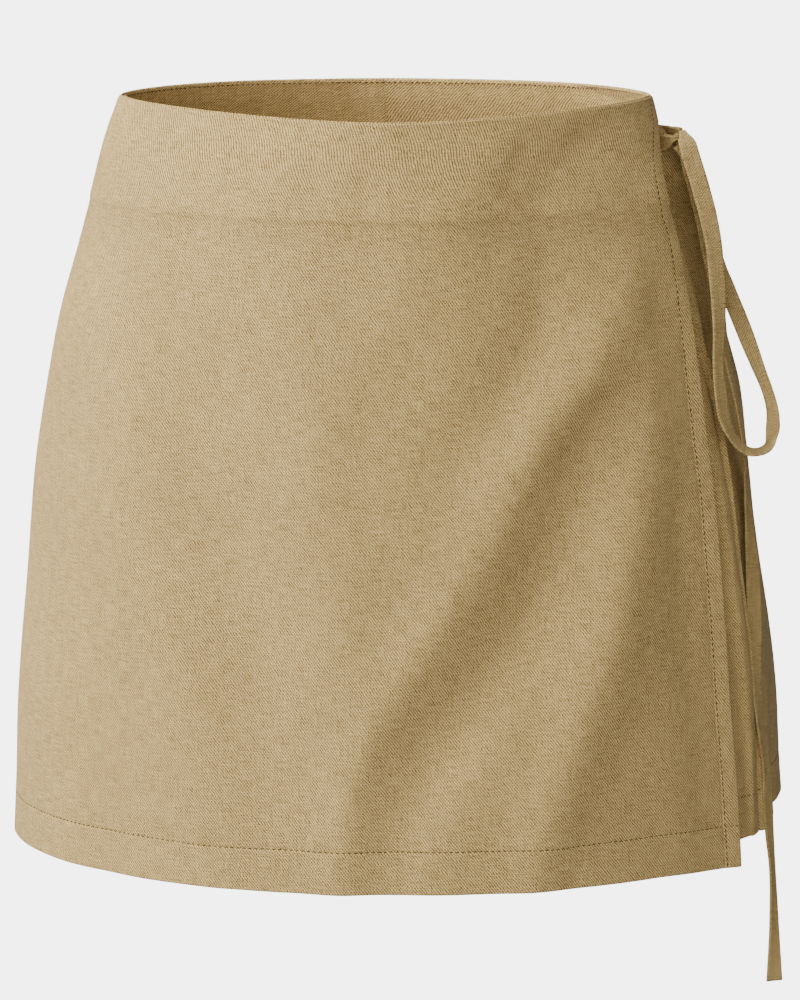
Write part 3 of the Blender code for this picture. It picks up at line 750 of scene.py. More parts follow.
def wrap_inset(angles, below):
    """The wrap's outer face: how far it is inside the form, less than 0 where it is proud."""
    proud = fold_height(WRAP_FOLDS, angles, below) * smooth_step(below / RIM_STILL)
    proud = proud + edge_stand(angles, below)
    return -(proud + unevenness(angles, below) + facing_rise(below))


def pressed(deep, angles, below):
    """The inset of cloth under the wrap, which the wrap's troughs press further in."""
    wrap = wrap_inset(angles, below) + UNDER_CLEAR
    return (deep + wrap + np.sqrt((deep - wrap) ** 2 + UNDER_BLEND**2)) / 2


def under_depth(below):
    """How far inside the form the cloth under the wrap lies, before the wrap presses it."""
    return curve_value(UNDER, UNDER_COLUMNS, "inset", below)


def under_rise(angles):
    """How much of the way from under the wrap to the left seam's own place the cloth has come out."""
    start, end = UNDER_RISE
    return smooth_step((angles - start) / (end - start))


def under_inset(angles, below):
    """The front of the shorts' left half: it comes out to the form at the left seam."""
    deep = under_depth(below)
    out = (tuck(angles, below) - deep) * under_rise(angles)
    level = deep + out - fold_height(LEFT_FRONT_FOLDS, angles, below)
    return np.where(angles < UNDER_RISE[1], pressed(level, angles, below), level)


def covered_inset(angles, below):
    """The front of the shorts' right half, which stays under the wrap to its side seam."""
    return pressed(under_depth(below) - fold_height(FRONT_FOLDS, angles, below), angles, below)


def back_left_inset(angles, below):
    """The back of the shorts' left half, tucked in under the wrap beside the waist."""
    proud = fold_height(BACK_LEFT_FOLDS, angles, below) + unevenness(angles, below) + facing_rise(below)
    return tuck(angles, below) - proud


def back_right_inset(angles, below):
    """The back of the shorts' right half."""
    turned = 180.0 - angles
    proud = fold_height(BACK_RIGHT_FOLDS, turned, below) + unevenness(turned, below) + facing_rise(below)
    return -proud


def mirrored(inset_of):
    """The front right half's inset, given angles of the left half."""

    def inset(angles, below):
        return inset_of(-180.0 - angles, below)

    return inset


# Rows of points --------------------------------------------------------------------------------
def arc_length(path):
    """The distance along a path to each of its points."""
    return np.concatenate([[0.0], np.cumsum(np.linalg.norm(np.diff(path, axis=0), axis=1))])


def at_places(path, places):
    """Points of a path at distances along it."""
    length = arc_length(path)
    return np.stack([np.interp(places, length, path[:, axis]) for axis in range(3)], axis=-1)


def outward(row):
    """Level directions that point out of a row listed anticlockwise seen from above."""
    along = np.gradient(row, axis=0)
    out = np.stack([along[:, 1], -along[:, 0], np.zeros(len(row))], axis=-1)
    return out / np.maximum(np.linalg.norm(out, axis=1), 1e-9)[:, None]


def rolled(distance, radius):
    """How far in a folded edge's face lies at a distance from the edge."""
    near = np.clip(radius - distance, 0.0, radius)
    return radius - np.sqrt(radius**2 - near**2)


def sunk(distance):
    """How far in the cloth lies at a distance from a line of stitches."""
    return STITCH_SINK * np.exp(-((distance / STITCH_SINK_WIDTH) ** 2))


def puckered(distance, along, phase=0.0):
    """The small puckers that sewing leaves beside a seam, above the cloth."""
    reach = np.exp(-np.abs(distance) / PUCKER_REACH)
    wave = np.sin(2 * np.pi * along / PUCKER_LENGTH + phase)
    change = np.sin(2 * np.pi * along / (PUCKER_LENGTH * PUCKER_CHANGE_LENGTH) + 2 * phase)
    return PUCKER * reach * wave * (1 - PUCKER_CHANGE + PUCKER_CHANGE * change)


def edge_places(length, across, start, end):
    """Distances along a row: fine ones at both ends, and even ones between."""
    middle = np.linspace(start[-1], length - end[-1], across + 1)
    return np.concatenate([start[:-1], middle, length - np.array(end[-2::-1])])


def apart(depths):
    """Depths in order, without those that are too close below another."""
    depths = np.sort(np.concatenate(depths))
    return depths[np.concatenate([[True], np.diff(depths) > LEAST_ROW_STEP])]


def cloth_depths(length, hem, crotch=False):
    """Depths of a panel's rows, close together at its edges, its facing's edge and its hem stitching."""
    hem_line = length - hem
    fine = [np.array(NEAR_EDGE), length - np.array(NEAR_EDGE), hem_line + np.array(NEAR_STITCH)]
    fine.append(FACING_LENGTH + np.array(NEAR_FACING_EDGE))
    even = np.arange(NEAR_EDGE[-1] + ROW_STEP / 2, length - NEAR_EDGE[-1], ROW_STEP)
    if crotch:
        even = np.concatenate([even, np.arange(CROTCH_START, CROTCH_DEPTH + ROW_STEP, CROTCH_ROW_STEP)])
    for group in fine:
        even = even[np.all(np.abs(even[:, None] - group[None]) > ROW_STEP / 3, axis=1)]
    return apart([*fine, even])


def edge_roll(below, length, hem):
    """How far in a panel's face lies at its waist edge, its hem's stitching and its hem."""
    return rolled(below, ROLL) + rolled(length - below, ROLL) + sunk(below - (length - hem))


def inner_leg(start, inner, face, seam_y):
    """A full leg's turn from the outer form to the inner leg, and its inner leg to the seam."""
    level = start[2]
    reach = abs(start[0] - inner)
    turned = np.array([inner, start[1] - face * reach, level])
    corner = np.array([inner, start[1], level])
    t = np.linspace(0, 1, BEND_POINTS)[:, None]
    bend = (1 - t) ** 2 * start + 2 * t * (1 - t) * corner + t * t * turned
    return np.vstack([bend, [inner, seam_y, level]])


def leg_row(below, face, inset_of, seam_angle):
    """A left leg's outer face at one depth, from the side seam to the centre or inner leg seam."""
    angles = np.linspace(seam_angle, CENTRE * face, PATH_POINTS)
    ring = outline(angles, below, inset_of(angles, below))
    opened = (below - CROTCH_DEPTH) / (SHORTS_LENGTH - CROTCH_DEPTH)
    inner = LEAN * below + INNER_GAP / 2 + LEG_SPREAD * smooth_step(opened)
    line = inner + LEG_CORNER
    side = ring[ring[:, 0] > line]
    rest = ring[ring[:, 0] <= line]
    share = (side[-1, 0] - line) / (side[-1, 0] - rest[0, 0])
    meeting = side[-1] + share * (rest[0] - side[-1])
    side = np.vstack([side, meeting])
    middle = np.vstack([meeting, rest])
    middle[:, 0] = np.maximum(middle[:, 0], inner)
    seam_y = INNER_SEAM_Y + face * INNER_GAP / 2
    full = inner_leg(meeting, inner, face, seam_y)
    turned = np.clip((below - CROTCH_START) / (CROTCH_DEPTH - CROTCH_START), 0.0, 1.0) ** CROTCH_CURVE
    flat_places = edge_places(arc_length(middle)[-1], INNER_ACROSS, (0.0,), NEAR_EDGE)
    full_places = edge_places(arc_length(full)[-1], INNER_ACROSS, (0.0,), NEAR_EDGE)
    flat = at_places(middle, flat_places)
    turned_row = flat + (at_places(full, full_places) - flat) * turned
    side_places = edge_places(arc_length(side)[-1], SIDE_ACROSS, NEAR_SEAM, (0.0,))
    return np.vstack([at_places(side, side_places)[:-1], turned_row])


def centre_seam_share(below):
    """The centre seam's relief at a depth. There is none where the two legs turn under the crotch."""
    above = np.clip((CROTCH_START - below) / CROTCH_SEAM_RISE, 0.0, 1.0)
    return above + np.clip((below - CROTCH_DEPTH) / CROTCH_SEAM_RISE, 0.0, 1.0)


def to_right(row, below):
    """A left half's row turned over to the right half. The middle leans to the left lower down."""
    return row * (-1.0, 1.0, 1.0) + (2 * LEAN * below, 0.0, 0.0)


def clockwise(face, right):
    """Whether a leg's row, which starts at its side seam, runs clockwise seen from above."""
    return (face == FRONT) != right


def leg_rows(face, inset_of, hem, right=False):
    """The rows of one leg panel, each listed anticlockwise seen from above."""
    seam_angle = -180.0 - RIGHT_SEAM if right else LEFT_SEAM
    rows = []
    for below in cloth_depths(SHORTS_LENGTH, hem, crotch=True):
        row = leg_row(below, face, inset_of, seam_angle)
        from_side = arc_length(row)
        from_centre = from_side[-1] - from_side
        inward = edge_roll(below, SHORTS_LENGTH, hem) + rolled(from_side, SEAM_ROLL)
        inward = inward - puckered(from_side, below)
        centre = rolled(from_centre, SEAM_ROLL) - puckered(from_centre, below, phase=1.3)
        inward = inward + centre * centre_seam_share(below)
        if right:
            row = to_right(row, below)
        else:
            inward = inward - left_seam_shape(from_side, below, face)
        if clockwise(face, right):
            row = row[::-1]
            inward = inward[::-1]
        rows.append(row - outward(row) * inward[:, None])
    return rows


def left_seam_shape(from_side, below, face):
    """The rolled left seam, and the groove in the front panel beside it, above the plain form."""
    ridge = curve_value(SEAM_RIDGE, SEAM_RIDGE_COLUMNS, "ridge", below)
    bead = ridge * np.exp(-((from_side / RIDGE_WIDTH) ** 4))
    if face == FRONT:
        bead = bead - GROOVE_SHARE * ridge * np.exp(-(((from_side - GROOVE_PLACE) / GROOVE_WIDTH) ** 2))
    return bead


def edge_stitch_place(below, sewing):
    """How far the stitching is from the wrap's free edge at a depth."""
    share = smooth_step(below / EDGE_STAND_FULL)
    return sewing.edge + (sewing.edge_low - sewing.edge) * share


def wrap_rows(sewing):
    """The wrap panel's rows, from the right side seam to the free edge."""
    rows = []
    for below in cloth_depths(WRAP_LENGTH, sewing.hem):
        edge = curve_value(EDGE, EDGE_COLUMNS, "angle", below)
        angles = np.linspace(RIGHT_SEAM, edge, 2 * PATH_POINTS)
        path = outline(angles, below, wrap_inset(angles, below))
        nearness = smooth_step(1 - (edge - angles) / EDGE_STAND_REACH)
        path[:, 2] -= EDGE_DROP * nearness * smooth_step(below / WRAP_LENGTH)
        stitching = edge_stitch_place(below, sewing)
        free = (*NEAR_EDGE, *(stitching + np.array(NEAR_STITCH)), stitching + 2 * NEAR_EDGE[-1])
        length = arc_length(path)[-1]
        places = edge_places(length, WRAP_ACROSS, NEAR_EDGE, free)
        row = at_places(path, places)
        to_edge = length - places
        inward = edge_roll(below, WRAP_LENGTH, sewing.hem) + rolled(places, SEAM_ROLL)
        inward = inward + rolled(to_edge, ROLL) + sunk(to_edge - stitching)
        lift = EDGE_LIFT * smooth_step((below - EDGE_LIFT_START) / EDGE_LIFT_START)
        inward = inward - lift * np.clip(1 - to_edge / stitching, 0.0, 1.0)
        inward = inward - puckered(places, below) - puckered(to_edge - stitching, below, phase=0.7)
        inward = inward - puckered(below - (WRAP_LENGTH - sewing.hem), places, phase=0.2)
        rows.append(row - outward(row) * inward[:, None])
    return rows


def facing_row(below, face, inset_of, seam_angle, right):
    """A facing's row on one leg panel's inside."""
    lap = RIM_LAP + (FACING_LAP - RIM_LAP) * smooth_step(below / FACING_LAP_DEPTH)

    def inside(angles, at):
        return inset_of(angles, at) + lap

    row = leg_row(below, face, inside, seam_angle)
    if right:
        row = to_right(row, below)
    return row[::-1] if clockwise(face, right) else row


def facing_depths(rim):
    """Depths of a facing's rows, close together at its edges and its stitching."""
    stitching = rim + np.array(NEAR_STITCH[1:-1])
    even = np.arange(NEAR_EDGE[-1] + FACING_ROW_STEP, FACING_ROW_END, FACING_ROW_STEP)
    return apart([NEAR_EDGE, stitching, even, FACING_LENGTH - np.array(NEAR_EDGE[:4])])


def front_facing_inset(angles, below):
    """The front facing's place: at the waist edge it meets the wrap, and lower it is on the shorts."""
    return pressed(under_depth(below), -180.0 - angles, below) * smooth_step(below / RIM_STILL)


def side_facing_inset(angles, below):
    """The same on the left half, where it comes out to the left seam as the shorts do."""
    covered = pressed(under_depth(below), angles, below)
    deep = covered + (tuck(angles, below) - covered) * under_rise(angles)
    return deep * smooth_step(below / RIM_STILL)


def back_left_facing_inset(angles, below):
    """The back left facing, with the side's channel and creases by the centre seam."""
    folds = fold_height((*FACING_FOLDS, *SIDE_CHANNEL), angles, below)
    return tuck(angles, below) * smooth_step(below / RIM_STILL) - folds


def back_right_facing_inset(angles, below):
    """The back right facing, with creases by the centre seam."""
    return -fold_height(FACING_FOLDS, 180.0 - angles, below)


# Making pieces ---------------------------------------------------------------------------------
def collection():
    return bpy.context.scene.collection


def add_piece(name, mesh, look, replaced=()):
    """A finished piece on the garment's one body."""
    mesh.materials.append(look)
    made = bpy.data.objects.new(name, mesh)
    collection().objects.link(made)
    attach(made, "root")
    if replaced:
        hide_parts(*replaced)
    return made


def lay_uv(shape, uv_of):
    """Gives each face corner its vertex's place on the cloth, in metres."""
    layer = shape.loops.layers.uv.new("UVMap")
    for face in shape.faces:
        for loop in face.loops:
            loop[layer].uv = uv_of[loop.vert.index]


def smooth_mesh(name, shape):
    """A finished bmesh as a mesh, shaded smooth."""
    mesh = bpy.data.meshes.new(name)
    shape.to_mesh(mesh)
    shape.free()
    mesh.shade_smooth()
    return mesh


def grid_mesh(name, rows, grain_side=0.0):
    """A sheet through rows of points. Its UV map is the cloth's own place, across and down."""
    across = len(rows[0]) - 1
    down = len(rows) - 1
    shape = bmesh.new()
    made = bmesh.ops.create_grid(shape, x_segments=across, y_segments=down, size=1.0)
    places = {}
    for vert in made["verts"]:
        column = round((vert.co.x + 1) / 2 * across)
        row = round((1 - vert.co.y) / 2 * down)
        places[vert] = (row, column)
    lengths = [arc_length(np.asarray(row)) for row in rows]
    heights = [row[across // 2][2] for row in rows]
    depth = np.concatenate([[0.0], np.cumsum(np.abs(np.diff(heights)))])
    shape.verts.index_update()
    uv_of = {}
    for vert, (row, column) in places.items():
        vert.co = Vector(rows[row][column])
        side = lengths[row][column] - grain_side * lengths[row][-1]
        uv_of[vert.index] = (side, -depth[row])
    lay_uv(shape, uv_of)
    return smooth_mesh(name, shape)


def cloth_wall(made, thickness):
    """Gives a sheet its thickness, inwards from its outer face."""
    wall = made.modifiers.new("Cloth", "SOLIDIFY")
    wall.thickness = thickness
    wall.offset = -1.0
    wall.use_rim = True
    wall.use_quality_normals = True


def route_line(route, step):
    """Evenly spaced places and turns on a smooth curve through a route's points."""
    points = np.array(route, dtype=float)
    padded = np.vstack([2 * points[0] - points[1], points, 2 * points[-1] - points[-2]])
    fine = []
    for i in range(1, len(padded) - 2):
        a, b, c, d = padded[i - 1], padded[i], padded[i + 1], padded[i + 2]
        for t in np.linspace(0, 1, ROUTE_STEPS, endpoint=False):
            bend = (2 * a - 5 * b + 4 * c - d) * t**2 + (3 * b - a - 3 * c + d) * t**3
            fine.append((2 * b + (c - a) * t + bend) / 2)
    fine.append(points[-1])
    fine = np.array(fine)
    length = arc_length(fine[:, :3])
    places = np.linspace(0, length[-1], round(length[-1] / step))
    return np.stack([np.interp(places, length, fine[:, axis]) for axis in range(fine.shape[1])], axis=-1)


def strap_profile(count):
    """A flat turned strap's outline: across from -1 to 1, and its thickness, fuller at both edges."""
    turn = np.linspace(0, 2 * np.pi, count, endpoint=False)
    across = np.sign(np.cos(turn)) * np.abs(np.cos(turn)) ** STRAP_EDGE_POWER
    thick = np.sign(np.sin(turn)) * np.abs(np.sin(turn)) ** STRAP_FACE_POWER
    piping = np.exp(-(((np.abs(across) - STRAP_PIPING_PLACE) / STRAP_PIPING_WIDTH) ** 2))
    return across, thick * (STRAP_FACE + STRAP_PIPING * piping)


def strap_mesh(name, route, width, thickness, pinches, step):
    """A flat strap along a route, and the line through its middle."""
    line = route_line(route, step)
    centre = line[:, :3]
    along = arc_length(centre)
    tangents = np.gradient(centre, axis=0)
    tangents /= np.linalg.norm(tangents, axis=1)[:, None]
    sideways = np.cross(tangents, np.array([0.0, 1.0, 0.0]))
    sideways /= np.linalg.norm(sideways, axis=1)[:, None]
    depthways = np.cross(sideways, tangents)
    turn = np.radians(line[:, 3])[:, None]
    across_way = np.cos(turn) * sideways + np.sin(turn) * depthways
    through_way = np.cross(tangents, across_way)
    widths = np.full(len(line), width)
    fullness = np.ones(len(line))
    for place, reach, share in pinches:
        near = np.exp(-(((along - place) / reach) ** 2))
        widths = widths * (1 - (1 - share) * near)
        fullness = fullness + (1 / share - 1) * PINCH_FULLNESS * near
    across, thick = strap_profile(STRAP_POINTS)
    shape = bmesh.new()
    stations = len(line)
    bmesh.ops.create_grid(shape, x_segments=len(across), y_segments=stations - 1, size=1.0)
    shape.verts.index_update()
    uv_of = {}
    for vert in shape.verts:
        k = round((vert.co.x + 1) / 2 * len(across))
        i = round((1 - vert.co.y) / 2 * (stations - 1))
        j = k % len(across)
        out = across_way[i] * across[j] * widths[i] / 2
        out = out + through_way[i] * thick[j] * thickness / 2 * fullness[i]
        vert.co = Vector(centre[i] + out)
        uv_of[vert.index] = (across[j] * width / 2 * (1 if thick[j] >= 0 else -1), along[i])
    lay_uv(shape, uv_of)
    bmesh.ops.remove_doubles(shape, verts=shape.verts, dist=MERGE_DISTANCE)
    rims = [edge for edge in shape.edges if edge.is_boundary]
    caps = bmesh.ops.holes_fill(shape, edges=rims, sides=0)["faces"]
    bmesh.ops.inset_region(shape, faces=caps, thickness=STRAP_END_INSET, depth=STRAP_END_DEPTH)
    bmesh.ops.recalc_face_normals(shape, faces=shape.faces)
    return smooth_mesh(name, shape), centre


def add_stitches(shape, line, out, sewing):
    """Lays a row of stitches along a line on the cloth."""
    length = arc_length(line)
    count = int(length[-1] / sewing.stitch)
    half = STITCH_HALF * sewing.stitch

    def read(values, place):
        return Vector([float(np.interp(place, length, values[:, axis])) for axis in range(3)])

    for number in range(count):
        place = (number + 0.5) * length[-1] / count
        start = read(line, place - half)
        end = read(line, place + half)
        normal = read(out, place).normalized()
        way = (end - start).normalized()
        side = normal.cross(way).normalized()
        turn = Matrix((side, normal, way)).transposed().to_4x4()
        size = Matrix.Diagonal((sewing.thread, sewing.thread * STITCH_FLATNESS, (end - start).length, 1.0))
        middle = Matrix.Translation((start + end) / 2 - normal * STITCH_SINK * STITCH_SINK_SHARE)
        bmesh.ops.create_uvsphere(
            shape, u_segments=STITCH_SIDES, v_segments=STITCH_RINGS, radius=0.5, matrix=middle @ turn @ size
        )


def stitch_piece(name, lines, sewing):
    """One piece of all the stitches along lines, each given with the directions out of the cloth."""
    shape = bmesh.new()
    for line, out in lines:
        add_stitches(shape, line, out, sewing)
    return add_piece(name, smooth_mesh(name, shape), look("sewing_thread"))


def row_at(rows, depths, below):
    """The row of a panel nearest a depth."""
    return np.asarray(rows[int(np.argmin(np.abs(depths - below)))])


# Finishes --------------------------------------------------------------------------------------
def node(tree, kind, inputs):
    """A node with some of its sockets set."""
    made = tree.nodes.new(kind)
    for name, value in inputs.items():
        made.inputs[name].default_value = value
    return made


def plain_look(name, finish):
    """A material with sockets of its shader set, and that shader."""
    made = bpy.data.materials.new(name)
    made.use_nodes = True
    shader = made.node_tree.nodes["Principled BSDF"]
    for socket, value in finish.items():
        shader.inputs[socket].default_value = value
    return made, shader


def mixed_colour(tree, factor, first, second):
    """The colour between two others."""
    mix = tree.nodes.new("ShaderNodeMix")
    mix.data_type = "RGBA"
    mix.inputs["A"].default_value = (*first, 1.0)
    mix.inputs["B"].default_value = (*second, 1.0)
    tree.links.new(factor, mix.inputs["Factor"])
    return mix.outputs["Result"]


def scaled(colour, brightness):
    return [part * brightness for part in colour]


def maths(tree, operation, first, second=None, clamp=False):
    """The result of a Math node. Each value is a number or another node's output."""
    made = tree.nodes.new("ShaderNodeMath")
    made.operation = operation
    made.use_clamp = clamp
    for socket, value in zip(made.inputs, (first, second)):
        if value is None:
            continue
        if isinstance(value, (int, float)):
            socket.default_value = value
        else:
            tree.links.new(value, socket)
    return made.outputs[0]


def noise(tree, vector, across, down, detail=2.0):
    """Noise that is finer or coarser across the cloth than down it, from 0 to 1."""
    stretch = tree.nodes.new("ShaderNodeMapping")
    stretch.inputs["Scale"].default_value = (across, down, 1.0)
    tree.links.new(vector, stretch.inputs["Vector"])
    made = tree.nodes.new("ShaderNodeTexNoise")
    made.noise_dimensions = "2D"
    made.inputs["Scale"].default_value = 1.0
    made.inputs["Detail"].default_value = detail
    tree.links.new(stretch.outputs["Vector"], made.inputs["Vector"])
    return made.outputs["Fac"]


def node_group(name, numbers, results):
    """A node group that reads the cloth's place and some numbers, with its first and last nodes."""
    group = bpy.data.node_groups.new(name, "ShaderNodeTree")
    group.interface.new_socket(name="Cloth place", in_out="INPUT", socket_type="NodeSocketVector")
    for way, sockets in (("INPUT", numbers), ("OUTPUT", results)):
        for socket in sockets:
            group.interface.new_socket(name=socket, in_out=way, socket_type="NodeSocketFloat")
    return group, group.nodes.new("NodeGroupInput"), group.nodes.new("NodeGroupOutput")


def weave_group():
    """Twill weave: from the cloth's place in metres to the yarns' height and shade."""
    group, start, end = node_group(
        "Twill weave", ("Wales across", "Wales down", "Wale contrast"), ("Height", "Shade")
    )

    def plus(first, second, clamp=False):
        return maths(group, "ADD", first, second, clamp)

    def minus(first, second):
        return maths(group, "SUBTRACT", first, second)

    def times(first, second):
        return maths(group, "MULTIPLY", first, second)

    scale = group.nodes.new("ShaderNodeVectorMath")
    scale.operation = "SCALE"
    scale.inputs["Scale"].default_value = MILLIMETRES
    group.links.new(start.outputs["Cloth place"], scale.inputs[0])
    millimetres = scale.outputs["Vector"]
    split = group.nodes.new("ShaderNodeSeparateXYZ")
    group.links.new(millimetres, split.inputs[0])
    across = times(split.outputs["X"], start.outputs["Wales across"])
    down = times(split.outputs["Y"], start.outputs["Wales down"])
    drift = times(noise(group, millimetres, DRIFT_FINENESS, DRIFT_FINENESS), DRIFT)
    wale = plus(plus(across, down), drift)
    cross = minus(minus(across, down), drift)
    wale_wave = maths(group, "SINE", times(wale, 2 * np.pi))
    cross_wave = maths(group, "SINE", times(cross, 2 * np.pi))
    both = plus(wale_wave, times(cross_wave, CROSS_WALE))
    patches = noise(group, millimetres, PATCH_FINENESS, PATCH_FINENESS)
    patchy = plus(times(patches, PATCH_RANGE), PATCH_LEAST)
    both = times(times(both, patchy), start.outputs["Wale contrast"])
    yarn = minus(noise(group, millimetres, YARN_FINENESS, YARN_FINENESS, detail=1.0), 0.5)
    weft = minus(noise(group, millimetres, *WEFT_FINENESS), 0.5)
    warp = minus(noise(group, millimetres, *WARP_FINENESS), 0.5)
    uneven = plus(plus(times(weft, WEFT_SHARE), times(warp, WARP_SHARE)), times(yarn, YARN_SHARE))
    height = plus(times(both, HEIGHT_SHARES[0]), times(uneven, HEIGHT_SHARES[1]))
    # The shade mixes painted shade between the wales with the yarns' own unevenness.
    shade = plus(times(both, SHADE_SHARES[0]), times(uneven, SHADE_SHARES[1]))
    group.links.new(height, end.inputs["Height"])
    group.links.new(plus(shade, SHADE_MIDDLE, clamp=True), end.inputs["Shade"])
    return group


def tone_group():
    """Slow changes of the cloth's tone, as a factor near 1."""
    group, start, end = node_group("Cloth tone", (), ("Tone",))
    factor = 1.0
    for across, down, change in (BROAD_TONE, SMALL_TONE):
        patches = maths(group, "SUBTRACT", noise(group, start.outputs["Cloth place"], across, down), 0.5)
        factor = maths(group, "ADD", factor, maths(group, "MULTIPLY", patches, change))
    group.links.new(factor, end.inputs["Tone"])
    return group


def painted_facing_shade(tree, place, depth):
    """Painted shade just below the facing's lower edge, as a factor of the cloth's colour that is darkest
    along it.
    """
    down = tree.nodes.new("ShaderNodeSeparateXYZ")
    tree.links.new(place, down.inputs["Vector"])
    away = maths(tree, "ADD", down.outputs["Y"], FACING_LENGTH + FACING_SHADE_BELOW)
    away = maths(tree, "DIVIDE", away, FACING_SHADE_REACH)
    near = maths(tree, "EXPONENT", maths(tree, "MULTIPLY", maths(tree, "MULTIPLY", away, away), -1.0))
    return maths(tree, "SUBTRACT", 1.0, maths(tree, "MULTIPLY", near, depth))


def cloth_look(name, cloth, weave, tone, brightness=1.0, turned=False, contrast=1.0, facing_shade_depth=0.0):
    """Matte twill on the cloth's own UV map. Turned cloth has its weave across instead of down."""
    made, shader = plain_look(name, CLOTH_FINISH)
    tree = made.node_tree
    place = tree.nodes.new("ShaderNodeUVMap")
    place.uv_map = "UVMap"
    twill = tree.nodes.new("ShaderNodeGroup")
    twill.node_tree = weave
    twill.inputs["Wales across"].default_value = cloth.wales_down if turned else cloth.wales_across
    twill.inputs["Wales down"].default_value = cloth.wales_across if turned else cloth.wales_down
    twill.inputs["Wale contrast"].default_value = contrast
    tree.links.new(place.outputs["UV"], twill.inputs["Cloth place"])
    slow = tree.nodes.new("ShaderNodeGroup")
    slow.node_tree = tone
    tree.links.new(place.outputs["UV"], slow.inputs["Cloth place"])
    colours = scaled(cloth.shade, brightness), scaled(cloth.colour, brightness)
    toned = tree.nodes.new("ShaderNodeVectorMath")
    toned.operation = "SCALE"
    tree.links.new(mixed_colour(tree, twill.outputs["Shade"], *colours), toned.inputs[0])
    factor = slow.outputs["Tone"]
    # Painted shade in the colour, below the facing's lower edge.
    if facing_shade_depth:
        factor = maths(tree, "MULTIPLY", factor, painted_facing_shade(tree, place.outputs["UV"], facing_shade_depth))
    tree.links.new(factor, toned.inputs["Scale"])
    tree.links.new(toned.outputs["Vector"], shader.inputs["Base Color"])
    bump = node(tree, "ShaderNodeBump", BUMP)
    tree.links.new(twill.outputs["Height"], bump.inputs["Height"])
    tree.links.new(bump.outputs["Normal"], shader.inputs["Normal"])


def thread_look(cloth):
    """Thread with painted shade between its twists, laid as dark noise patches."""
    made, shader = plain_look("sewing_thread", THREAD_FINISH)
    tree = made.node_tree
    place = tree.nodes.new("ShaderNodeTexCoord")
    twist = node(tree, "ShaderNodeTexNoise", THREAD_TWIST)
    tree.links.new(place.outputs["Object"], twist.inputs["Vector"])
    colours = scaled(cloth.thread, THREAD_SHADE), cloth.thread
    tree.links.new(mixed_colour(tree, twist.outputs["Fac"], *colours), shader.inputs["Base Color"])


def look(name):
    return bpy.data.materials[name]


def floor_look(backdrop):
    """A pale floor that is bright to the camera alone, so that it doesn't light the skort."""
    made, shader = plain_look("pale_floor", {"Roughness": FLOOR_ROUGHNESS, "Emission Color": (1, 1, 1, 1)})
    shader.inputs["Base Color"].default_value = (FLOOR_GREY, FLOOR_GREY, FLOOR_GREY, 1)
    tree = made.node_tree
    seen = tree.nodes.new("ShaderNodeLightPath").outputs["Is Camera Ray"]
    tree.links.new(maths(tree, "MULTIPLY", seen, backdrop), shader.inputs["Emission Strength"])
    return made


def surroundings(stage):
    """White surroundings whose brightness changes evenly from side to side, front to back and up."""
    world = bpy.data.worlds.new("pale_surroundings")
    world.use_nodes = True
    tree = world.node_tree
    way = tree.nodes.new("ShaderNodeSeparateXYZ")
    tree.links.new(tree.nodes.new("ShaderNodeTexCoord").outputs["Generated"], way.inputs[0])
    side = maths(tree, "MULTIPLY", way.outputs["X"], -stage.sky_side)
    front = maths(tree, "MULTIPLY", way.outputs["Y"], -stage.sky_front)
    above = maths(tree, "MULTIPLY", way.outputs["Z"], stage.sky_above)
    glow = maths(tree, "ADD", maths(tree, "ADD", side, above), maths(tree, "ADD", front, stage.sky))
    background = tree.nodes["Background"]
    tree.links.new(maths(tree, "MAXIMUM", glow, SKY_LEAST), background.inputs["Strength"])
    background.inputs["Color"].default_value = (1.0, 1.0, 1.0, 1.0)
    return world


# Operators -------------------------------------------------------------------------------------
class SKORT_OT_finishes(bpy.types.Operator):
    """Make the twill and thread that all pieces use"""

    bl_idname = "skort.finishes"
    bl_label = "Cloth and thread"

    def execute(self, context):
        cloth = context.scene.skort_cloth
        weave = weave_group()
        tone = tone_group()
        cloth_look("khaki_twill", cloth, weave, tone, facing_shade_depth=FACING_EDGE_SHADE)
        # The facings' cloth is a brightened copy with painted light.
        cloth_look("khaki_twill_inside_lit", cloth, weave, tone, INSIDE_PAINTED_LIGHT, turned=True)
        cloth_look("khaki_twill_strap", cloth, weave, tone, STRAP_BRIGHTNESS, True, STRAP_CONTRAST)
        thread_look(cloth)
        return {"FINISHED"}


class SKORT_OT_wrap(bpy.types.Operator):
    """Make the wrap panel with its folds, its hem and its stitched free edge"""

    bl_idname = "skort.wrap"
    bl_label = "Wrap panel"

    def execute(self, context):
        cloth = context.scene.skort_cloth
        sewing = context.scene.skort_sewing
        rows = wrap_rows(sewing)
        mesh = grid_mesh("wrap", rows, grain_side=WRAP_GRAIN)
        made = add_piece("wrap", mesh, look("khaki_twill"), ["wrap_panel"])
        cloth_wall(made, cloth.thickness)
        depths = cloth_depths(WRAP_LENGTH, sewing.hem)
        hem = row_at(rows, depths, WRAP_LENGTH - sewing.hem)
        sewn = slice(WRAP_HEM_START, -SEWN_ENDS)
        lines = [(hem[sewn], outward(hem)[sewn])]
        edge = []
        out = []
        for below, row in zip(depths, rows):
            row = np.asarray(row)
            to_edge = arc_length(row)
            place = to_edge[-1] - edge_stitch_place(below, sewing)
            edge.append(at_places(row, [place])[0])
            out.append(outward(row)[int(np.argmin(np.abs(to_edge - place)))])
        sewn = slice(SEWN_ENDS, -SEWN_ENDS)
        lines.append((np.array(edge)[sewn], np.array(out)[sewn]))
        stitches = stitch_piece("wrap_stitching", lines, sewing)
        return {"FINISHED"}


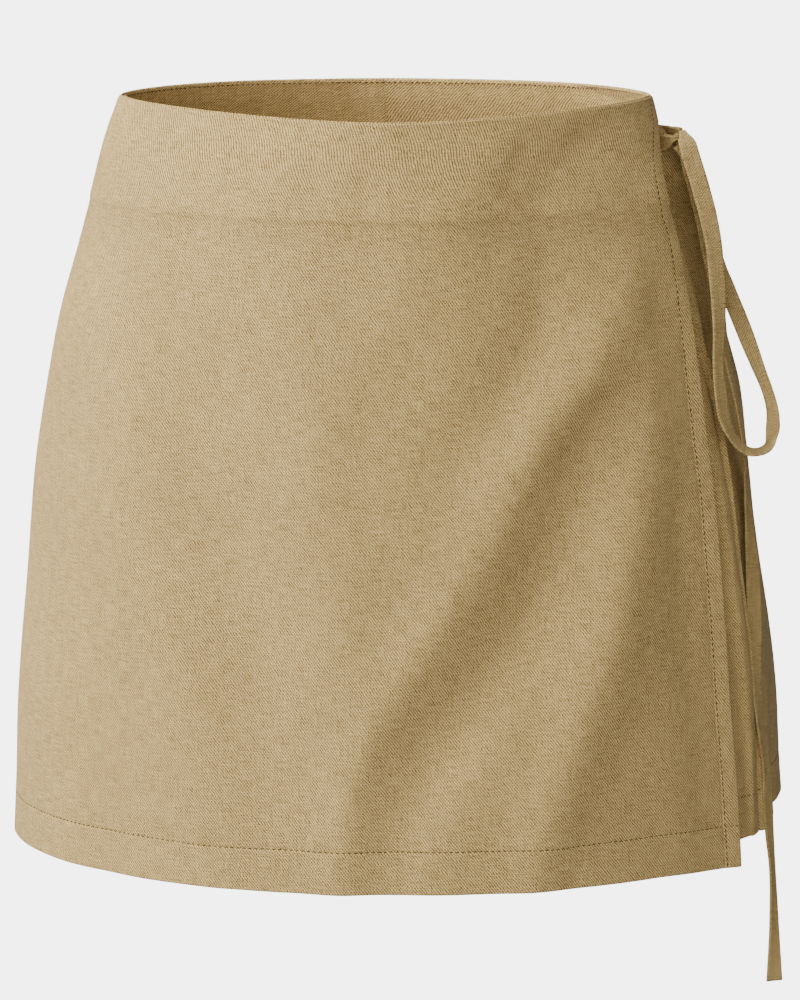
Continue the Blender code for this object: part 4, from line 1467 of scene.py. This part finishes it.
class SKORT_OT_shorts(bpy.types.Operator):
    """Make the four panels of the shorts, with their hems and seams"""

    bl_idname = "skort.shorts"
    bl_label = "Shorts"

    def execute(self, context):
        cloth = context.scene.skort_cloth
        sewing = context.scene.skort_sewing
        depths = cloth_depths(SHORTS_LENGTH, sewing.hem, crotch=True)
        sewn = slice(SEWN_ENDS, -SEWN_ENDS)
        panels = (
            ("front_left", FRONT, under_inset, False, 0.333, 0.0915),
            ("front_right", FRONT, mirrored(covered_inset), True, 0.388, 0.111),
            ("back_left", BACK, back_left_inset, False, 0.436, 0.1326),
            ("back_right", BACK, back_right_inset, True, 0.375, 0.1105),
        )
        for half, face, inset_of, right, width, area in panels:
            name = half + "_leg"
            rows = leg_rows(face, inset_of, sewing.hem, right)
            mesh = grid_mesh(name, rows, grain_side=1.0 if clockwise(face, right) else 0.0)
            made = add_piece(name, mesh, look("khaki_twill"), ["shorts_" + half])
            cloth_wall(made, cloth.thickness)
            hem = row_at(rows, depths, SHORTS_LENGTH - sewing.hem)
            lines = [(hem[sewn], outward(hem)[sewn])]
            stitches = stitch_piece(name + "_stitching", lines, sewing)
        return {"FINISHED"}


class SKORT_OT_facings(bpy.types.Operator):
    """Make the waist facings, stitched close to the waist edge"""

    bl_idname = "skort.facings"
    bl_label = "Waist facings"

    def execute(self, context):
        cloth = context.scene.skort_cloth
        sewing = context.scene.skort_sewing
        depths = facing_depths(sewing.rim)
        thickness = cloth.thickness * FACING_THICKNESS
        right_seam = -180.0 - RIGHT_SEAM
        front = []
        back_left = []
        back_right = []
        for below in depths:
            right = facing_row(below, FRONT, front_facing_inset, right_seam, True)
            left = facing_row(below, FRONT, side_facing_inset, LEFT_SEAM, False)
            front.append(np.vstack([right, left[1:]]))
            back_left.append(facing_row(below, BACK, back_left_facing_inset, LEFT_SEAM, False))
            back_right.append(facing_row(below, BACK, back_right_facing_inset, right_seam, True))
        pieces = (
            ("front", front, (0.365, 0.055), 0.0182),
            ("back_left", back_left, (0.250, 0.055), 0.0125),
            ("back_right", back_right, (0.205, 0.055), 0.0102),
        )
        for place, rows, flat, area in pieces:
            name = place + "_facing"
            shaped = []
            for below, row in zip(depths, rows):
                out = FACING_RIM * (rolled(below, ROLL) / ROLL) - sunk(below - sewing.rim)
                shaped.append(row + outward(row) * out)
            mesh = grid_mesh(name, shaped)
            made = add_piece(name, mesh, look("khaki_twill_inside_lit"), ["facing_" + place])
            cloth_wall(made, thickness)
            line = row_at(shaped, depths, sewing.rim)
            inner = line - outward(line) * thickness
            lines = [(inner[1:-1], -outward(line)[1:-1])]
            stitches = stitch_piece(name + "_stitching", lines, sewing)
        return {"FINISHED"}


class SKORT_OT_tie(bpy.types.Operator):
    """Make the strap ends, the knot, and the strap's free loop and tail"""

    bl_idname = "skort.tie"
    bl_label = "Side tie"

    def execute(self, context):
        tie = context.scene.skort_tie
        strap = look("khaki_twill_strap")
        straps = (
            ("front_strap_end", FRONT_END_ROUTE, FRONT_END_PINCHES, FRONT_END_STEP, "tie_front_end"),
            ("back_strap_end", BACK_END_ROUTE, BACK_END_PINCHES, BACK_END_STEP, "tie_back_end"),
            ("strap_loop", LOOP_ROUTE, LOOP_PINCHES, STRAP_STEP, "tie_loop"),
            ("strap_tail", TAIL_ROUTE, TAIL_PINCHES, STRAP_STEP, "tie_tail"),
        )
        laid = {}
        for name, route, pinches, step, replaced in straps:
            mesh, line = strap_mesh(name, route, tie.width, tie.thickness, pinches, step)
            laid[name] = (add_piece(name, mesh, strap, [replaced]), line)
        shape = bmesh.new()
        bmesh.ops.create_uvsphere(shape, u_segments=KNOT_SIDES, v_segments=KNOT_RINGS, radius=KNOT_RADIUS)
        bmesh.ops.scale(shape, vec=KNOT_SHAPE, verts=shape.verts)
        bmesh.ops.translate(shape, vec=KNOT_CENTRE, verts=shape.verts)
        shape.verts.index_update()
        lay_uv(shape, {v.index: (v.co.x + v.co.y, v.co.z) for v in shape.verts})
        add_piece("knot", smooth_mesh("knot", shape), strap, ["tie_knot"])
        for name, far_end in (("strap_loop", "object"), ("strap_tail", "bare")):
            made, line = laid[name]
        return {"FINISHED"}


class SKORT_OT_stage(bpy.types.Operator):
    """Make the floor, the lights, the surroundings and the camera"""

    bl_idname = "skort.stage"
    bl_label = "Stage"

    def execute(self, context):
        scene = context.scene
        stage = scene.skort_stage
        shape = bmesh.new()
        bmesh.ops.create_grid(
            shape, x_segments=FLOOR_SQUARES, y_segments=FLOOR_SQUARES, size=FLOOR_HALF_WIDTH
        )
        bmesh.ops.translate(shape, vec=(0, 0, stage.floor), verts=shape.verts)
        mesh = smooth_mesh("floor", shape)
        mesh.materials.append(floor_look(stage.backdrop))
        floor = bpy.data.objects.new("floor", mesh)
        collection().objects.link(floor)
        light = bpy.data.lights.new("main_light", "AREA")
        light.energy = stage.key
        light.size = LIGHT_SIZE
        light.color = LIGHT_COLOUR
        made = bpy.data.objects.new("main_light", light)
        made.location = LIGHT_PLACE
        made.rotation_euler = (Vector(LIGHT_AIM) - made.location).to_track_quat("-Z", "Y").to_euler()
        collection().objects.link(made)
        scene.world = surroundings(stage)
        lens = bpy.data.cameras.new("camera")
        lens.lens = CAMERA_LENS
        lens.sensor_width = CAMERA_SENSOR
        lens.clip_start, lens.clip_end = CAMERA_RANGE
        camera = bpy.data.objects.new("camera", lens)
        camera.location = CAMERA_PLACE
        camera.rotation_euler = (np.radians(CAMERA_TILT), 0.0, 0.0)
        collection().objects.link(camera)
        scene.camera = camera
        return {"FINISHED"}


class SKORT_PT_panel(bpy.types.Panel):
    """The skort's settings and pieces"""

    bl_idname = "SKORT_PT_panel"
    bl_label = "Wrap skort"
    bl_space_type = "VIEW_3D"
    bl_region_type = "UI"
    bl_category = "Skort"

    def draw(self, context):
        for name in GROUPS:
            settings = getattr(context.scene, name)
            box = self.layout.box()
            for key in settings.bl_rna.properties.keys():
                if key not in ("rna_type", "name"):
                    box.prop(settings, key)
        for operator in OPERATORS:
            self.layout.operator(operator.bl_idname)


GROUPS = {
    "skort_cloth": SkortCloth,
    "skort_sewing": SkortSewing,
    "skort_tie": SkortTie,
    "skort_stage": SkortStage,
}
OPERATORS = (
    SKORT_OT_stage,
    SKORT_OT_finishes,
    SKORT_OT_tie,
    SKORT_OT_facings,
    SKORT_OT_wrap,
    SKORT_OT_shorts,
)


def register():
    for group in GROUPS.values():
        bpy.utils.register_class(group)
    for operator in OPERATORS:
        bpy.utils.register_class(operator)
    bpy.utils.register_class(SKORT_PT_panel)
    for name, group in GROUPS.items():
        setattr(bpy.types.Scene, name, bpy.props.PointerProperty(type=group))


def unregister():
    for name in GROUPS:
        delattr(bpy.types.Scene, name)
    bpy.utils.unregister_class(SKORT_PT_panel)
    for operator in reversed(OPERATORS):
        bpy.utils.unregister_class(operator)
    for group in reversed(GROUPS.values()):
        bpy.utils.unregister_class(group)


def main():
    register()
    bpy.ops.skort.stage()
    bpy.ops.skort.finishes()
    bpy.ops.skort.tie()
    bpy.ops.skort.facings()
    bpy.ops.skort.wrap()
    bpy.ops.skort.shorts()


if __name__ == "__main__":
    main()
